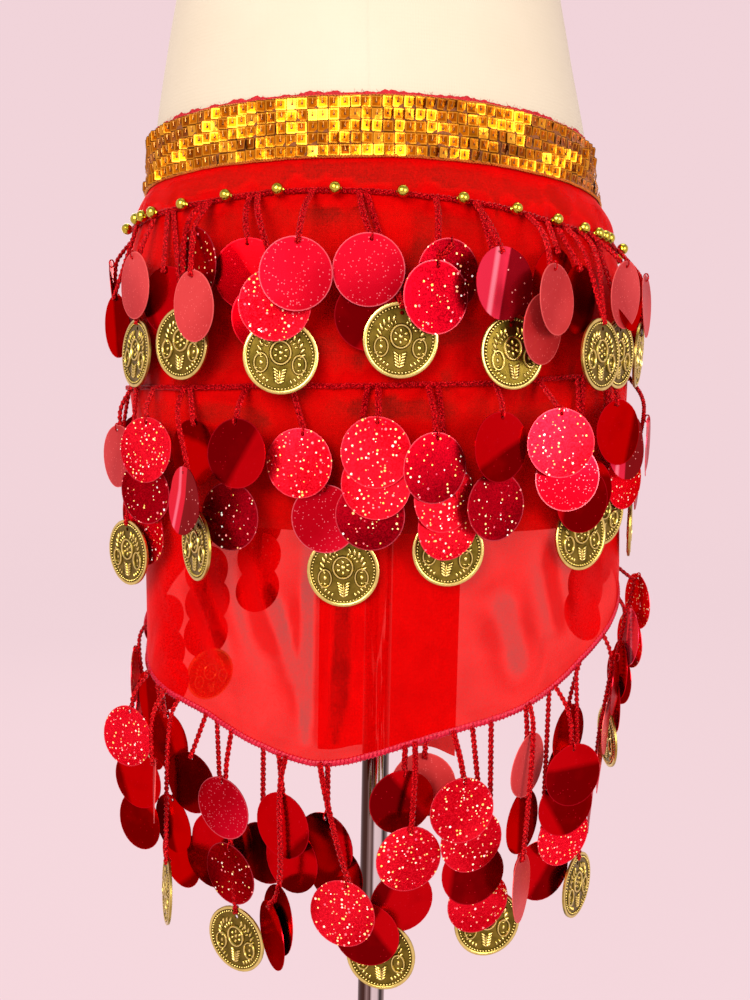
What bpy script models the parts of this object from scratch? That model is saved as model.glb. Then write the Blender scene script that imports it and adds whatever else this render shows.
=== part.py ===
"""Dance scarf on a limbless dress form.

A sheer half-oval hip scarf is tied behind a dress form on a pole. It has a sequin band along its top, a
bead string, and three rows of crocheted fringe that carries round paillettes and coins. Metres, +Z up,
the front faces -Y. The origin is the centre of the base's underside.

Places on the scarf are given as an arc, in mm round the hips from the centre of the front (positive
towards +X), and a drop, in mm below what a piece hangs from.
"""

import math

import bmesh
import bpy
import numpy as np
from mathutils import Vector

MM = 0.001
GAP = 0.3 * MM  # left between pieces that touch

# Stand and form
BASE_RADIUS, BASE_HEIGHT, BASE_EDGE = 0.180, 0.010, 0.003
BOSS_RADIUS, BOSS_HEIGHT = 0.022, 0.026
POLE_RADIUS = 0.0098
FORM_BOTTOM = 0.730
FORM_SECTIONS = (  # height, half width, half depth, shift towards the back
    (0.730, 0.1510, 0.1070, 0.000),
    (0.738, 0.1585, 0.1120, 0.000),
    (0.765, 0.1630, 0.1155, 0.000),
    (0.820, 0.1660, 0.1176, 0.000),
    (0.870, 0.1640, 0.1166, 0.000),
    (0.920, 0.1525, 0.1124, 0.000),
    (0.938, 0.1472, 0.1094, 0.000),
    (0.950, 0.1450, 0.1086, 0.000),
    (0.985, 0.1402, 0.1052, 0.000),
    (1.034, 0.1308, 0.0980, 0.000),
    (1.090, 0.1215, 0.0895, 0.000),
    (1.145, 0.1255, 0.0920, -0.001),
    (1.205, 0.1350, 0.1020, -0.006),
    (1.255, 0.1420, 0.1140, -0.012),
    (1.305, 0.1470, 0.1090, -0.008),
    (1.355, 0.1540, 0.0940, 0.000),
    (1.395, 0.1550, 0.0800, 0.006),
    (1.420, 0.1280, 0.0700, 0.009),
    (1.440, 0.0850, 0.0600, 0.010),
    (1.460, 0.0600, 0.0530, 0.009),
    (1.494, 0.0545, 0.0505, 0.006),
    (1.500, 0.0500, 0.0460, 0.006),
)
LEAN = (  # height, shift towards +X: the form stands a little askew on its pole
    (0.700, 0.0000),
    (0.810, -0.0030),
    (0.900, -0.0075),
    (0.950, -0.0100),
    (1.034, -0.0135),
    (1.200, -0.0150),
)
FORM_SIDES = 34

# Scarf cloth: the outer face of its wall
CLOTH = 1.2 * MM
HIP_HALF_WIDTH, HIP_HALF_DEPTH = 0.1696, 0.1210  # arcs are measured on this oval
CLOTH_SECTIONS = (  # height, half width, half depth
    (0.400, 0.1630, 0.1170),
    (0.600, 0.1630, 0.1170),
    (0.735, 0.1642, 0.1180),
    (0.820, 0.1690, 0.1206),
    (0.870, 0.1674, 0.1200),
    (0.920, 0.1580, 0.1165),
    (0.940, 0.1487, 0.1114),
    (0.950, 0.1470, 0.1106),
    (0.985, 0.1420, 0.1070),
)
FOLDS = (  # arc, depth outwards, width
    (-300, 4.0, 40),
    (-232, -3.5, 30),
    (-165, 3.0, 26),
    (-118, -3.0, 22),
    (-36, 4.0, 26),
    (28, -2.5, 30),
    (84, 3.0, 30),
    (150, -3.0, 26),
    (215, 4.0, 34),
    (285, -3.0, 34),
)
FOLD_START, FOLD_FULL = 0.800, 0.640  # heights over which the folds open
LEVELS = (  # arc, top of the band, bead string, middle string
    (-460, 0.961, 0.903, 0.812),
    (-300, 0.967, 0.911, 0.812),
    (-150, 0.974, 0.919, 0.814),
    (-50, 0.977, 0.926, 0.817),
    (50, 0.978, 0.923, 0.820),
    (150, 0.974, 0.912, 0.826),
    (300, 0.964, 0.903, 0.822),
    (460, 0.961, 0.903, 0.812),
)
SCARF_CENTRE, SCARF_REACH = -38, 402  # the middle of the cut, and its ends on each side of it
OVAL_REACH, OVAL_LINE, OVAL_DEPTH = 415, 0.967, 0.360  # the hem is half an oval, longer than deep
POINT_DEPTH, POINT_WIDTH = 0.013, 60  # the hem dips a little at its centre
CLOTH_ABOVE_BAND = 2.8 * MM
PANEL_COLUMNS, PANEL_ROWS = 58, 8

# Band, strings and hem
BAND_HEIGHT, BAND_THICKNESS = 33.5 * MM, 1.2 * MM
STRING = 2.4 * MM
HEM_HEIGHT, HEM_THICKNESS = 3.6 * MM, 2.0 * MM

# Fringe
PAILLETTE_RADIUS, PAILLETTE_THICKNESS = 20 * MM, 0.9 * MM
COIN_RADIUS, COIN_THICKNESS = 21 * MM, 1.5 * MM
THREAD = 1.2 * MM  # strand, just above its disc
ROOT, ROOT_SPACING = 1.8, 2.8  # mm along the backing
MIDDLE_HANG = 0.795  # the middle row hangs free of the cloth below this height
KNEE_OUT, KNEE_DROP = 12, 13  # mm: a strand that hangs further out than this runs outwards first

# A row is one crochet chain. Its discs hang behind each other from the top down: each next one is lower
# by step, to the side by drift, and further out by layer. turn is in degrees towards +X. out is the first
# one's distance from the cloth. G is glitter, M mirror, S satin, P pale, H half pale and half glitter, and
# C a coin.
TOP_CHAINS = (  # arc, drop, step, drift, turn, out, layer, discs
    (-188, 66, 0, 0, 8, 9, 0, "M"),
    (-154, 45, 40, -3, -8, 12, -5, "PC"),
    (-131, 56, 0, 0, 4, 6, 0, "M"),
    (-113, 83, 0, 0, -3, 10, 0, "C"),
    (-98, 40, 22, 1, -20, 18, 5, "GP"),
    (-70, 48, 24, 9, 14, 13, -5, "MM"),
    (-52, 66, 28, 1, 16, 19, -6, "GC"),
    (-39, 50, 0, 0, 14, 24, 0, "S"),
    (-2, 46, 24, -2, 2, 14, -8, "GM"),
    (13, 83, 0, 0, 5, 10, 0, "C"),
    (31, 59, -13, 9, 16, 20, -5, "MG"),
    (64, 48, 0, 0, 17, 22, 0, "H"),
    (72, 84, 0, 0, 10, 12, 0, "C"),
    (93, 52, 17, -5, 26, 24, -5, "PP"),
    (106, 39, 0, 0, 18, 8, 0, "M"),
    (121, 46, 0, 0, 18, 9, 0, "M"),
    (128, 77, 0, 0, 14, 18, 0, "C"),
    (149, 39, 0, 9, 8, 20, -4, "PM"),
    (156, 73, 0, 0, 6, 9, 0, "C"),
)
MIDDLE_CHAINS = (  # arc, drop, step, drift, turn, out, layer, discs
    (-181, 45, 34, 4, 8, 14, -10, "PM"),
    (-170, 106, 0, 0, 10, 12, 0, "C"),
    (-144, 39, 27, -7, 12, 14, -4, "GGG"),
    (-110, 40, 0, 0, -12, 8, 0, "M"),
    (-107, 67, 27, 3, -28, 21, -6, "HC"),
    (-78, 39, 37, -5, -5, 18, -5, "MG"),
    (-42, 45, 32, 12, -9, 10, -4, "GS"),
    (-20, 108, 0, 0, 0, 2.5, 0, "C"),
    (-1, 38, 18, -2, -11, 21, -4, "GGG"),
    (30, 47, 17, 5, 17, 22, -4, "GSG"),
    (43, 97, 0, 0, -3, 4, 0, "C"),
    (65, 37, 34, -2, 17, 20, -5, "HG"),
    (98, 37, 21, 7, -14, 23, -5, "GS"),
    (123, 74, -3, 12, -2, 12, -4, "MM"),
    (130, 98, 0, 0, -5, 4, 0, "C"),
    (148, 35, 0, 0, -7, 14, 0, "M"),
    (164, 45, 20, 8, -8, 12, -4, "GG"),
    (158, 86, 0, 0, -5, 3, 0, "C"),
)
HEM_CHAINS = (  # arc, drop, step, drift, turn, out, layer, discs
    (-196, 34, 30, -2, 8, 0, -4, "MM"),
    (-172, 40, 34, -5, 26, 16, -5, "GMM"),
    (-156, 96, 24, 2, 6, -6, -4, "MM"),
    (-150, 34, 0, 0, 6, 2, 0, "M"),
    (-143, 58, 0, 0, -34, 18, 0, "P"),
    (-138, 124, 0, 0, -34, 13, 0, "C"),
    (-124, 47, 0, 0, 4, 8, 0, "M"),
    (-109, 82, 18, -9, 4, -1, -4, "MM"),
    (-97, 48, 42, 4, -8, 11, -3, "GGC"),
    (-75, 74, 0, 0, -12, -6, 0, "M"),
    (-56, 39, 22, 5, -20, 12, -5, "MM"),
    (-54, 93, 12, -5, -48, 20, 0, "MM"),
    (-30, 50, 20, 4, -24, 6, -4, "MM"),
    (-16, 87, 18, 10, -10, 20, -4, "GMC"),
    (20, 65, 0, 0, 12, 18, 0, "G"),
    (17, 33, 66, 2, 12, 9, -5, "MM"),
    (31, 32, 0, 0, -4, -4, 0, "P"),
    (50, 43, 23, 5, 4, 20, -4, "GSMG"),
    (73, 130, 0, 0, -4, 2, 0, "C"),
    (86, 106, 0, 0, 44, 16, 0, "P"),
    (95, 36, 38, -2, 26, 8, -5, "MM"),
    (122, 54, 24, 3, -10, 18, -5, "MMG"),
    (117, 122, 0, 0, -8, -3, 0, "M"),
    (147, 150, 0, 0, 10, 6, 0, "C"),
    (146, 50, 28, 4, 6, -4, -7, "MM"),
    (176, 34, 30, 2, 12, 10, -5, "MMSM"),
    (208, 28, 26, 2, 14, 8, -4, "HMMC"),
    (236, 30, 30, 2, 6, 20, -4, "GGM"),
)
# Behind the sides the chains follow a rule, because the rows there look alike.
BACK_PITCH = 42
BACK_TURN = 11  # degrees, the most that a chain there is turned
BACK_TOP = ("GC", "MM", "PC", "SM")
BACK_MIDDLE = ("GMC", "MG", "HMC", "GM")
BACK_HEM = ("MGM", "GMC", "SMM", "GMMC")
BACK_STEP, BACK_COIN_STEP, BACK_DRIFT = 23, 31, 2
TOP_REACH, MIDDLE_REACH, HEM_REACH = (-385, 322), (-330, 270), (-372, 316)
# A back row's rearmost disc from the cloth, the spacing of its layers, and the drop of its first discs
BACK_TOP_PLACE, BACK_MIDDLE_PLACE, BACK_HEM_PLACE = (8, 5, 34), (6, 4, 42), (7, 4, 42)

# Tie behind
KNOT_ARC, KNOT_HEIGHT = 446, 0.945
KNOT_HALF = (0.018, 0.013, 0.017)
KNOT_OVERLAP = 8  # mm, from the knot's middle to the end of each tie under it
TIE_THICKNESS, TIE_WIDE, TIE_NARROW = 2.2 * MM, 30 * MM, 15 * MM
TAIL_ARC = 446.9  # under the knot, which is higher and so further over
TAIL_END, TAIL_WIDE, TAIL_NARROW = 0.505, 56 * MM, 17 * MM
TAIL_FOLD = 5 * MM  # how far a tail's middle stands out from its edges
TAIL_TUCK = 3.6 * MM  # how much closer to the hips the tails are where they leave the knot
TAIL_HANG = 0.82  # the tails hang straight down below the widest part of the hips
TAIL_ROWS, TAIL_COLUMNS = 8, 6

FINISHES = {  # colour, roughness, metallic
    "form_cloth": ((0.80, 0.72, 0.60), 0.85, 0.0),
    "chrome": ((0.75, 0.75, 0.76), 0.12, 1.0),
    "chiffon": ((0.80, 0.01, 0.02), 0.60, 0.0),
    "sequins": ((0.85, 0.42, 0.06), 0.25, 1.0),
    "crochet": ((0.62, 0.01, 0.02), 0.45, 0.0),
    "hem_thread": ((0.60, 0.01, 0.08), 0.60, 0.0),
}


def smooth(rows, at, column):
    """A column of a table at a key between its rows, on a smooth curve through them."""
    keys = [row[0] for row in rows]
    values = [row[column] for row in rows]
    at = min(max(at, keys[0]), keys[-1])
    low = max(i for i in range(len(keys) - 1) if keys[i] <= at)

    def slope(i):
        before, after = max(i - 1, 0), min(i + 1, len(keys) - 1)
        return (values[after] - values[before]) / (keys[after] - keys[before])

    width = keys[low + 1] - keys[low]
    t = (at - keys[low]) / width
    return (
        (2 * t**3 - 3 * t**2 + 1) * values[low]
        + (t**3 - 2 * t**2 + t) * width * slope(low)
        + (3 * t**2 - 2 * t**3) * values[low + 1]
        + (t**3 - t**2) * width * slope(low + 1)
    )


def girth_table():
    """Angles round the hip oval and the arc, in mm, at each of them."""
    angles = np.linspace(-math.pi, math.pi, 1441)
    middle = (angles[1:] + angles[:-1]) / 2
    steps = np.hypot(HIP_HALF_WIDTH * np.cos(middle), HIP_HALF_DEPTH * np.sin(middle)) * np.diff(angles)
    arcs = np.concatenate([[0], np.cumsum(steps)]) / MM
    return angles, arcs - arcs[-1] / 2


ANGLES, ARCS = girth_table()
GIRTH = 2 * ARCS[-1]


def angle_at(arc):
    return float(np.interp((arc + GIRTH / 2) % GIRTH - GIRTH / 2, ARCS, ANGLES))


def fold_at(arc, height):
    """How far the cloth's folds push it out here."""
    t = min(max((FOLD_START - height) / (FOLD_START - FOLD_FULL), 0), 1)
    reach = t * t * (3 - 2 * t)
    return reach * sum(depth * MM * math.exp(-(((arc - at) / width) ** 2)) for at, depth, width in FOLDS)


def cloth_point(arc, height, out=0.0):
    """A point out from the cloth's outer face, with the directions outwards and along the arc there."""
    angle = angle_at(arc)
    half_width, half_depth = (smooth(CLOTH_SECTIONS, height, column) for column in (1, 2))
    outward = Vector((math.sin(angle) / half_width, -math.cos(angle) / half_depth, 0)).normalized()
    along = Vector((-outward.y, outward.x, 0))
    lean = smooth(LEAN, height, 1)
    point = Vector((lean + half_width * math.sin(angle), -half_depth * math.cos(angle), height))
    return point + outward * (out + fold_at(arc, height)), outward, along


def hem_height(arc):
    """The lower edge of the cut: a half oval with a slight point."""
    across = min(abs(arc - SCARF_CENTRE) / OVAL_REACH, 1)
    point = math.exp(-(((arc - SCARF_CENTRE) / POINT_WIDTH) ** 2))
    return OVAL_LINE - OVAL_DEPTH * math.sqrt(1 - across**2) - POINT_DEPTH * point


PANEL_ARCS = np.linspace(SCARF_CENTRE - SCARF_REACH, SCARF_CENTRE + SCARF_REACH, PANEL_COLUMNS + 1)
PANEL_HEM = [hem_height(arc) for arc in PANEL_ARCS]


def hem_line(arc):
    """The hem between the panel's columns, where its edge is straight."""
    return float(np.interp(arc, PANEL_ARCS, PANEL_HEM))


def band_top(arc):
    return smooth(LEVELS, arc, 1)


def finish_object(name, mesh_bm, finish, smooth_shaded=True):
    """Turns a bmesh into a named object with its own material."""
    mesh_bm.normal_update()
    bmesh.ops.recalc_face_normals(mesh_bm, faces=mesh_bm.faces)
    mesh = bpy.data.meshes.new(name)
    mesh_bm.to_mesh(mesh)
    mesh_bm.free()
    if smooth_shaded:
        mesh.shade_smooth()
        mesh.set_sharp_from_angle(angle=math.radians(40))
    obj = bpy.data.objects.new(name, mesh)
    bpy.context.scene.collection.objects.link(obj)
    colour, roughness, metallic = FINISHES[finish]
    material = bpy.data.materials.new(name + "_" + finish)
    material.use_nodes = True
    shader = material.node_tree.nodes["Principled BSDF"]
    shader.inputs["Base Color"].default_value = (*colour, 1)
    shader.inputs["Roughness"].default_value = roughness
    shader.inputs["Metallic"].default_value = metallic
    mesh.materials.append(material)
    return obj


def loft(bm, loops, closed=True):
    """Joins loops of equal length with quads and caps both ends."""
    rings = [[bm.verts.new(point) for point in loop] for loop in loops]
    count = len(rings[0])
    for lower, upper in zip(rings, rings[1:]):
        for i in range(count):
            j = (i + 1) % count
            bm.faces.new((lower[i], lower[j], upper[j], upper[i]))
    if closed:
        bm.faces.new(rings[0])
        bm.faces.new(rings[-1])
    return rings


def wall(bm, outer, inner):
    """A closed wall between two grids of points with the same rows and columns."""
    faces = []
    grids = [[[bm.verts.new(point) for point in row] for row in grid] for grid in (outer, inner)]
    rows, columns = len(outer), len(outer[0])
    for grid in grids:
        for i in range(rows - 1):
            for j in range(columns - 1):
                faces.append((grid[i][j], grid[i][j + 1], grid[i + 1][j + 1], grid[i + 1][j]))
    front, back = grids
    rim = [(0, j) for j in range(columns - 1)]
    rim += [(i, columns - 1) for i in range(rows - 1)]
    rim += [(rows - 1, j) for j in range(columns - 1, 0, -1)]
    rim += [(i, 0) for i in range(rows - 1, 0, -1)]
    for (i, j), (k, m) in zip(rim, rim[1:] + rim[:1]):
        faces.append((front[i][j], front[k][m], back[k][m], back[i][j]))
    for face in faces:
        bm.faces.new(face)


def turned(bm, profile, sides):
    """A solid of revolution from (radius, height) rows, bottom to top."""
    loft(bm, [
        [(radius * math.cos(a), radius * math.sin(a), height)
         for a in (math.tau * i / sides for i in range(sides))]
        for radius, height in profile
    ])


def make_base():
    bm = bmesh.new()
    turned(bm, (
        (BASE_RADIUS - BASE_EDGE, 0),
        (BASE_RADIUS, BASE_EDGE),
        (BASE_RADIUS, BASE_HEIGHT - BASE_EDGE),
        (BASE_RADIUS - BASE_EDGE, BASE_HEIGHT),
        (BOSS_RADIUS, BASE_HEIGHT + BASE_EDGE),
        (BOSS_RADIUS, BOSS_HEIGHT - BASE_EDGE),
        (BOSS_RADIUS - BASE_EDGE, BOSS_HEIGHT),
    ), 36)
    finish_object("base_plate", bm, "chrome")


def make_pole():
    bm = bmesh.new()
    turned(bm, ((POLE_RADIUS, BOSS_HEIGHT + GAP), (POLE_RADIUS, FORM_BOTTOM - GAP)), 20)
    finish_object("pole", bm, "chrome")


def make_form():
    """Neck, shoulders, chest, waist and hips of a general figure, closed at both ends."""
    bm = bmesh.new()
    heights = sorted({row[0] for row in FORM_SECTIONS} | {1.01, 1.175, 1.23, 1.28, 1.33})
    loops = []
    for height in heights:
        half_width, half_depth, shift = (smooth(FORM_SECTIONS, height, column) for column in (1, 2, 3))
        lean = smooth(LEAN, height, 1)
        loops.append([
            (lean + half_width * math.sin(a), shift - half_depth * math.cos(a), height)
            for a in (math.tau * i / FORM_SIDES for i in range(FORM_SIDES))
        ])
    loft(bm, loops)
    finish_object("form_body", bm, "form_cloth")


def panel_grid(out):
    """The scarf's points, a column for each step of arc and a row for each step down."""
    grid = []
    for row in range(PANEL_ROWS + 1):
        points = []
        for arc in PANEL_ARCS:
            top, hem = band_top(arc) + CLOTH_ABOVE_BAND, hem_height(arc)
            band_share = min((BAND_HEIGHT + CLOTH_ABOVE_BAND) / (top - hem), 0.5)
            share = row / 2 * band_share if row < 2 else band_share + (row - 2) / (PANEL_ROWS - 2) * (1 - band_share)
            points.append(cloth_point(arc, top + (hem - top) * share, out)[0])
        grid.append(points)
    return grid


def make_scarf():
    bm = bmesh.new()
    wall(bm, panel_grid(0), panel_grid(-CLOTH))
    finish_object("scarf_body", bm, "chiffon")


def make_band():
    """The strip of sequins, on the scarf's top edge."""
    bm = bmesh.new()
    grids = []
    for out in (GAP + BAND_THICKNESS, GAP):
        rows = []
        for row in range(3):
            rows.append([
                cloth_point(arc, band_top(arc) - BAND_HEIGHT * row / 2, out)[0]
                for arc in PANEL_ARCS
            ])
        grids.append(rows)
    wall(bm, *grids)
    finish_object("sequin_band", bm, "sequins")


def back_chains(front, reach, patterns, place):
    """Chains from the last ones of the front round to where the row ends on each side."""
    rear_out, layer, drop = place
    rows = []
    for side, edge in ((-1, reach[0]), (1, reach[1])):
        last = side * max(side * row[0] for row in front)
        for k in range(1, int(abs(edge - last) / BACK_PITCH) + 1):
            discs = patterns[(k + (side > 0)) % len(patterns)]
            turn = BACK_TURN * math.sin(2.4 * k + side)
            out = rear_out + layer * (len(discs) - 1)
            rows.append((last + side * BACK_PITCH * k, drop + 4 * math.sin(1.7 * k), BACK_STEP, BACK_DRIFT,
                         turn, out, -layer, discs))
    return rows


def hangings(chains):
    """One row for each disc: arc, drop, turn, distance out, letter."""
    found = []
    for arc, drop, step, drift, turn, out, layer, discs in chains:
        for k, letter in enumerate(discs):
            extra = BACK_COIN_STEP - BACK_STEP if letter == "C" and step == BACK_STEP else 0
            found.append((arc + k * drift, drop + k * step + extra, turn, out + k * layer, letter))
    return found


def disc_loops(centre, side, outward, radius, thickness):
    """Four-sided loops from the thread down over an eight-sided disc."""
    wide, narrow = radius * math.cos(math.pi / 8), radius * math.sin(math.pi / 8)
    rows = [(radius + THREAD, THREAD / 2), (wide, narrow), (narrow, wide), (-narrow, wide), (-wide, narrow)]
    loops = []
    for up, half in rows:
        middle = centre + Vector((0, 0, up))
        loops.append([
            middle + side * (half * across) + outward * (thickness / 2 * depth)
            for across, depth in ((-1, -1), (-1, 1), (1, 1), (1, -1))
        ])
    return loops


def spread(places, spacing):
    """Sorted places, pushed apart where they are closer than the spacing."""
    order = sorted(range(len(places)), key=lambda i: places[i])
    moved = [places[i] for i in order]
    for _ in range(200):
        for i in range(len(moved) - 1):
            short = spacing - (moved[i + 1] - moved[i])
            if short > 0:
                moved[i] -= short / 2
                moved[i + 1] += short / 2
    result = list(places)
    for i, place in zip(order, moved):
        result[i] = place
    return result


def filled(start, end):
    """Stations of a backing between two arcs, at the panel's columns, where the hem bends."""
    return [(arc, None) for arc in PANEL_ARCS if start + ROOT / 2 < arc < end - ROOT / 2]


def backing_corners(arc, line, height, thickness, seat, inner):
    """The backing's section at an arc: inner top, outer top, outer bottom, inner bottom."""
    step = 1.0
    rise = (line(arc + step) - line(arc - step)) / (2 * step * MM)
    lean = math.atan(rise)
    corners = []
    for down, out in ((0, 0), (0, 1), (1, 1), (1, 0)):
        below = seat + height * down
        at = arc + below * math.sin(lean) / MM
        corners.append(cloth_point(at, line(arc) - below * math.cos(lean), inner + thickness * out)[0])
    return corners


def make_fringe(name, finish, line, chains, ends, height, thickness, seat, inner, hang):
    """A backing along a line of the scarf with a strand for each disc fused to its underside."""
    discs = hangings(chains)
    roots = spread([row[0] for row in discs], ROOT_SPACING)
    stations = [(ends[0], None)]
    for root, disc in sorted(zip(roots, discs), key=lambda pair: pair[0]):
        stations += filled(stations[-1][0], root - ROOT / 2)
        stations += [(root - ROOT / 2, disc), (root + ROOT / 2, None)]
    stations += filled(stations[-1][0], ends[1]) + [(ends[1], None)]

    bm = bmesh.new()
    rings = [[bm.verts.new(point) for point in backing_corners(arc, line, height, thickness, seat, inner)]
             for arc, _ in stations]
    bm.faces.new(rings[0])
    bm.faces.new(rings[-1])
    for (here, there, (_, disc)) in zip(rings, rings[1:], stations):
        for i, j in ((0, 1), (1, 2), (3, 0)):
            bm.faces.new((here[i], here[j], there[j], there[i]))
        root = [here[3], here[2], there[2], there[3]]
        if disc is None:
            bm.faces.new(root)
            continue
        arc, drop, turn, out, letter = disc
        centre_height = line(arc) - drop * MM
        point, outward, along = cloth_point(arc, hang(arc, centre_height), out * MM)
        point.z = centre_height
        angle = math.radians(turn)
        facing = outward * math.cos(angle) + along * math.sin(angle)
        side = along * math.cos(angle) - outward * math.sin(angle)
        coin = letter == "C"
        loops = disc_loops(point, side, facing, COIN_RADIUS if coin else PAILLETTE_RADIUS,
                           COIN_THICKNESS if coin else PAILLETTE_THICKNESS)
        if out > KNEE_OUT:
            rise = Vector((0, 0, line(arc) - KNEE_DROP * MM)) - Vector((0, 0, loops[0][0].z))
            loops.insert(0, [corner + rise for corner in loops[0]])
        for loop in loops:
            lower = [bm.verts.new(corner) for corner in loop]
            for i in range(4):
                j = (i + 1) % 4
                bm.faces.new((root[i], root[j], lower[j], lower[i]))
            root = lower
        bm.faces.new(root)
    finish_object(name, bm, finish, smooth_shaded=False)


def make_fringes():
    make_fringe("fringe_top", "crochet", lambda arc: smooth(LEVELS, arc, 2),
                TOP_CHAINS + tuple(back_chains(TOP_CHAINS, TOP_REACH, BACK_TOP, BACK_TOP_PLACE)),
                (SCARF_CENTRE - 396, SCARF_CENTRE + 396), STRING, STRING, 0, GAP,
                lambda arc, height: height)
    make_fringe("fringe_middle", "crochet", lambda arc: smooth(LEVELS, arc, 3),
                MIDDLE_CHAINS + tuple(back_chains(MIDDLE_CHAINS, MIDDLE_REACH, BACK_MIDDLE, BACK_MIDDLE_PLACE)),
                (SCARF_CENTRE - 352, SCARF_CENTRE + 352), STRING, STRING, 0, GAP,
                lambda arc, height: max(height, MIDDLE_HANG))
    make_fringe("fringe_hem", "hem_thread", hem_line,
                HEM_CHAINS + tuple(back_chains(HEM_CHAINS, HEM_REACH, BACK_HEM, BACK_HEM_PLACE)),
                (SCARF_CENTRE - SCARF_REACH, SCARF_CENTRE + SCARF_REACH), HEM_HEIGHT, HEM_THICKNESS, GAP, -CLOTH,
                lambda arc, height: hem_line(arc))


def tie_strip(name, start_arc, end_arc):
    """The stretch of tie between the scarf's end and the knot, gathered as it nears the knot."""
    bm = bmesh.new()
    loops = []
    middle = band_top(start_arc) - TIE_WIDE / 2
    for i in range(5):
        t = i / 4
        arc = start_arc + (end_arc - start_arc) * t
        half = (TIE_WIDE + (TIE_NARROW - TIE_WIDE) * t) / 2
        height = middle + (KNOT_HEIGHT - middle) * t
        loops.append([
            cloth_point(arc, height + half * up, TIE_THICKNESS * out - CLOTH)[0]
            for up, out in ((-1, 0), (0, 0), (1, 0), (1, 1), (0, 1.15), (-1, 1))
        ])
    loft(bm, loops)
    finish_object(name, bm, "chiffon")


def make_knot():
    bm = bmesh.new()
    bmesh.ops.create_uvsphere(bm, u_segments=12, v_segments=7, radius=1)
    centre, outward, along = cloth_point(KNOT_ARC, KNOT_HEIGHT, KNOT_HALF[1] + GAP)
    for vert in bm.verts:
        x, y, z = vert.co
        vert.co = centre + along * (KNOT_HALF[0] * x) + outward * (KNOT_HALF[1] * y) + Vector((0, 0, KNOT_HALF[2] * z))
    finish_object("tie_knot", bm, "chiffon")


def make_tail(name, side):
    """One loose end of the tie, folded lengthwise, hanging under the knot."""
    bm = bmesh.new()
    top = KNOT_HEIGHT - KNOT_HALF[2] - GAP
    grids = []
    for out in (CLOTH, 0):
        rows = []
        for row in range(TAIL_ROWS + 1):
            t = row / TAIL_ROWS
            open_share = min(t / 0.3, 1)
            width = TAIL_NARROW + (TAIL_WIDE - TAIL_NARROW) * open_share * (2 - open_share)
            height = top + (TAIL_END - top) * t
            points = []
            for column in range(TAIL_COLUMNS + 1):
                across = column / TAIL_COLUMNS
                arc = TAIL_ARC + side * (GAP + width * across) / MM
                crest = TAIL_FOLD * math.sin(math.pi * across) * (0.6 + 0.4 * t)
                stand_off = KNOT_HALF[1] - TAIL_TUCK * (1 - open_share) + crest
                point = cloth_point(arc, max(height, TAIL_HANG), stand_off + out)[0]
                point.z = height
                points.append(point)
            rows.append(points)
        grids.append(rows)
    wall(bm, *grids)
    finish_object(name, bm, "chiffon")


def main():
    for obj in list(bpy.data.objects):
        bpy.data.objects.remove(obj, do_unlink=True)
    make_base()
    make_pole()
    make_form()
    make_scarf()
    make_band()
    make_fringes()
    seam = 2 * GAP / MM
    tie_strip("tie_right", SCARF_CENTRE + SCARF_REACH + seam, KNOT_ARC - KNOT_OVERLAP)
    tie_strip("tie_left", SCARF_CENTRE - SCARF_REACH + GIRTH - seam, KNOT_ARC + KNOT_OVERLAP)
    make_knot()
    make_tail("tail_left", 1)
    make_tail("tail_right", -1)


main()
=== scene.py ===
"""Dance scarf on a limbless dress form, dressed over its CAD frame.

Metres, +Z up, the front faces -Y. Places on the scarf are an arc, in mm round the hips from the centre of
the front (positive towards +X), and a drop, in mm below what a piece hangs from.
"""

import math

import bpy
import numpy as np
from bpy.props import FloatProperty, FloatVectorProperty, IntProperty, PointerProperty
from mathutils import Matrix, Vector


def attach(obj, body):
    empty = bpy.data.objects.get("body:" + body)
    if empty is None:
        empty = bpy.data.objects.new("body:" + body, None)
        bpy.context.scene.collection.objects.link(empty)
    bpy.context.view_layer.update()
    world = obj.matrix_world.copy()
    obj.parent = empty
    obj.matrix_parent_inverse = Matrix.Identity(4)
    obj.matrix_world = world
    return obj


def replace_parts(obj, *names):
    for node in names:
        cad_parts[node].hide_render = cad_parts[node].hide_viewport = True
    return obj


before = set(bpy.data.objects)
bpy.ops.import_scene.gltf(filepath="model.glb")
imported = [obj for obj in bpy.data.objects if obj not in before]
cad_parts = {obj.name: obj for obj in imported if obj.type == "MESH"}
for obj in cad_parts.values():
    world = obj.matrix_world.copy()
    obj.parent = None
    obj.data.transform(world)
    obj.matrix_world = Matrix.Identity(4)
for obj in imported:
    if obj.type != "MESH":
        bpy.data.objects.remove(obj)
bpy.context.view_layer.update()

bl_info = {
    "name": "Dance scarf on dress form",
    "version": (1, 0, 0),
    "blender": (4, 5, 0),
    "location": "View3D > Sidebar > Dance Scarf",
    "description": "Dresses a hip scarf with a sequin band, beads, crochet, paillettes and coins",
    "category": "Add Mesh",
}

MM = 0.001
SEED = 7

# The scarf on the form, as it was cut and hung
HIP_HALF_WIDTH, HIP_HALF_DEPTH = 0.1696, 0.1210
CLOTH_SECTIONS = (  # height, half width, half depth
    (0.400, 0.1630, 0.1170),
    (0.600, 0.1630, 0.1170),
    (0.735, 0.1642, 0.1180),
    (0.820, 0.1690, 0.1206),
    (0.870, 0.1674, 0.1200),
    (0.920, 0.1580, 0.1165),
    (0.940, 0.1487, 0.1114),
    (0.950, 0.1470, 0.1106),
    (0.985, 0.1420, 0.1070),
)
FOLDS = (  # arc, depth outwards, width
    (-300, 4.0, 40),
    (-232, -3.5, 30),
    (-165, 3.0, 26),
    (-118, -3.0, 22),
    (-36, 4.0, 26),
    (28, -2.5, 30),
    (84, 3.0, 30),
    (150, -3.0, 26),
    (215, 4.0, 34),
    (285, -3.0, 34),
)
FOLD_START, FOLD_FULL = 0.800, 0.640
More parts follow.
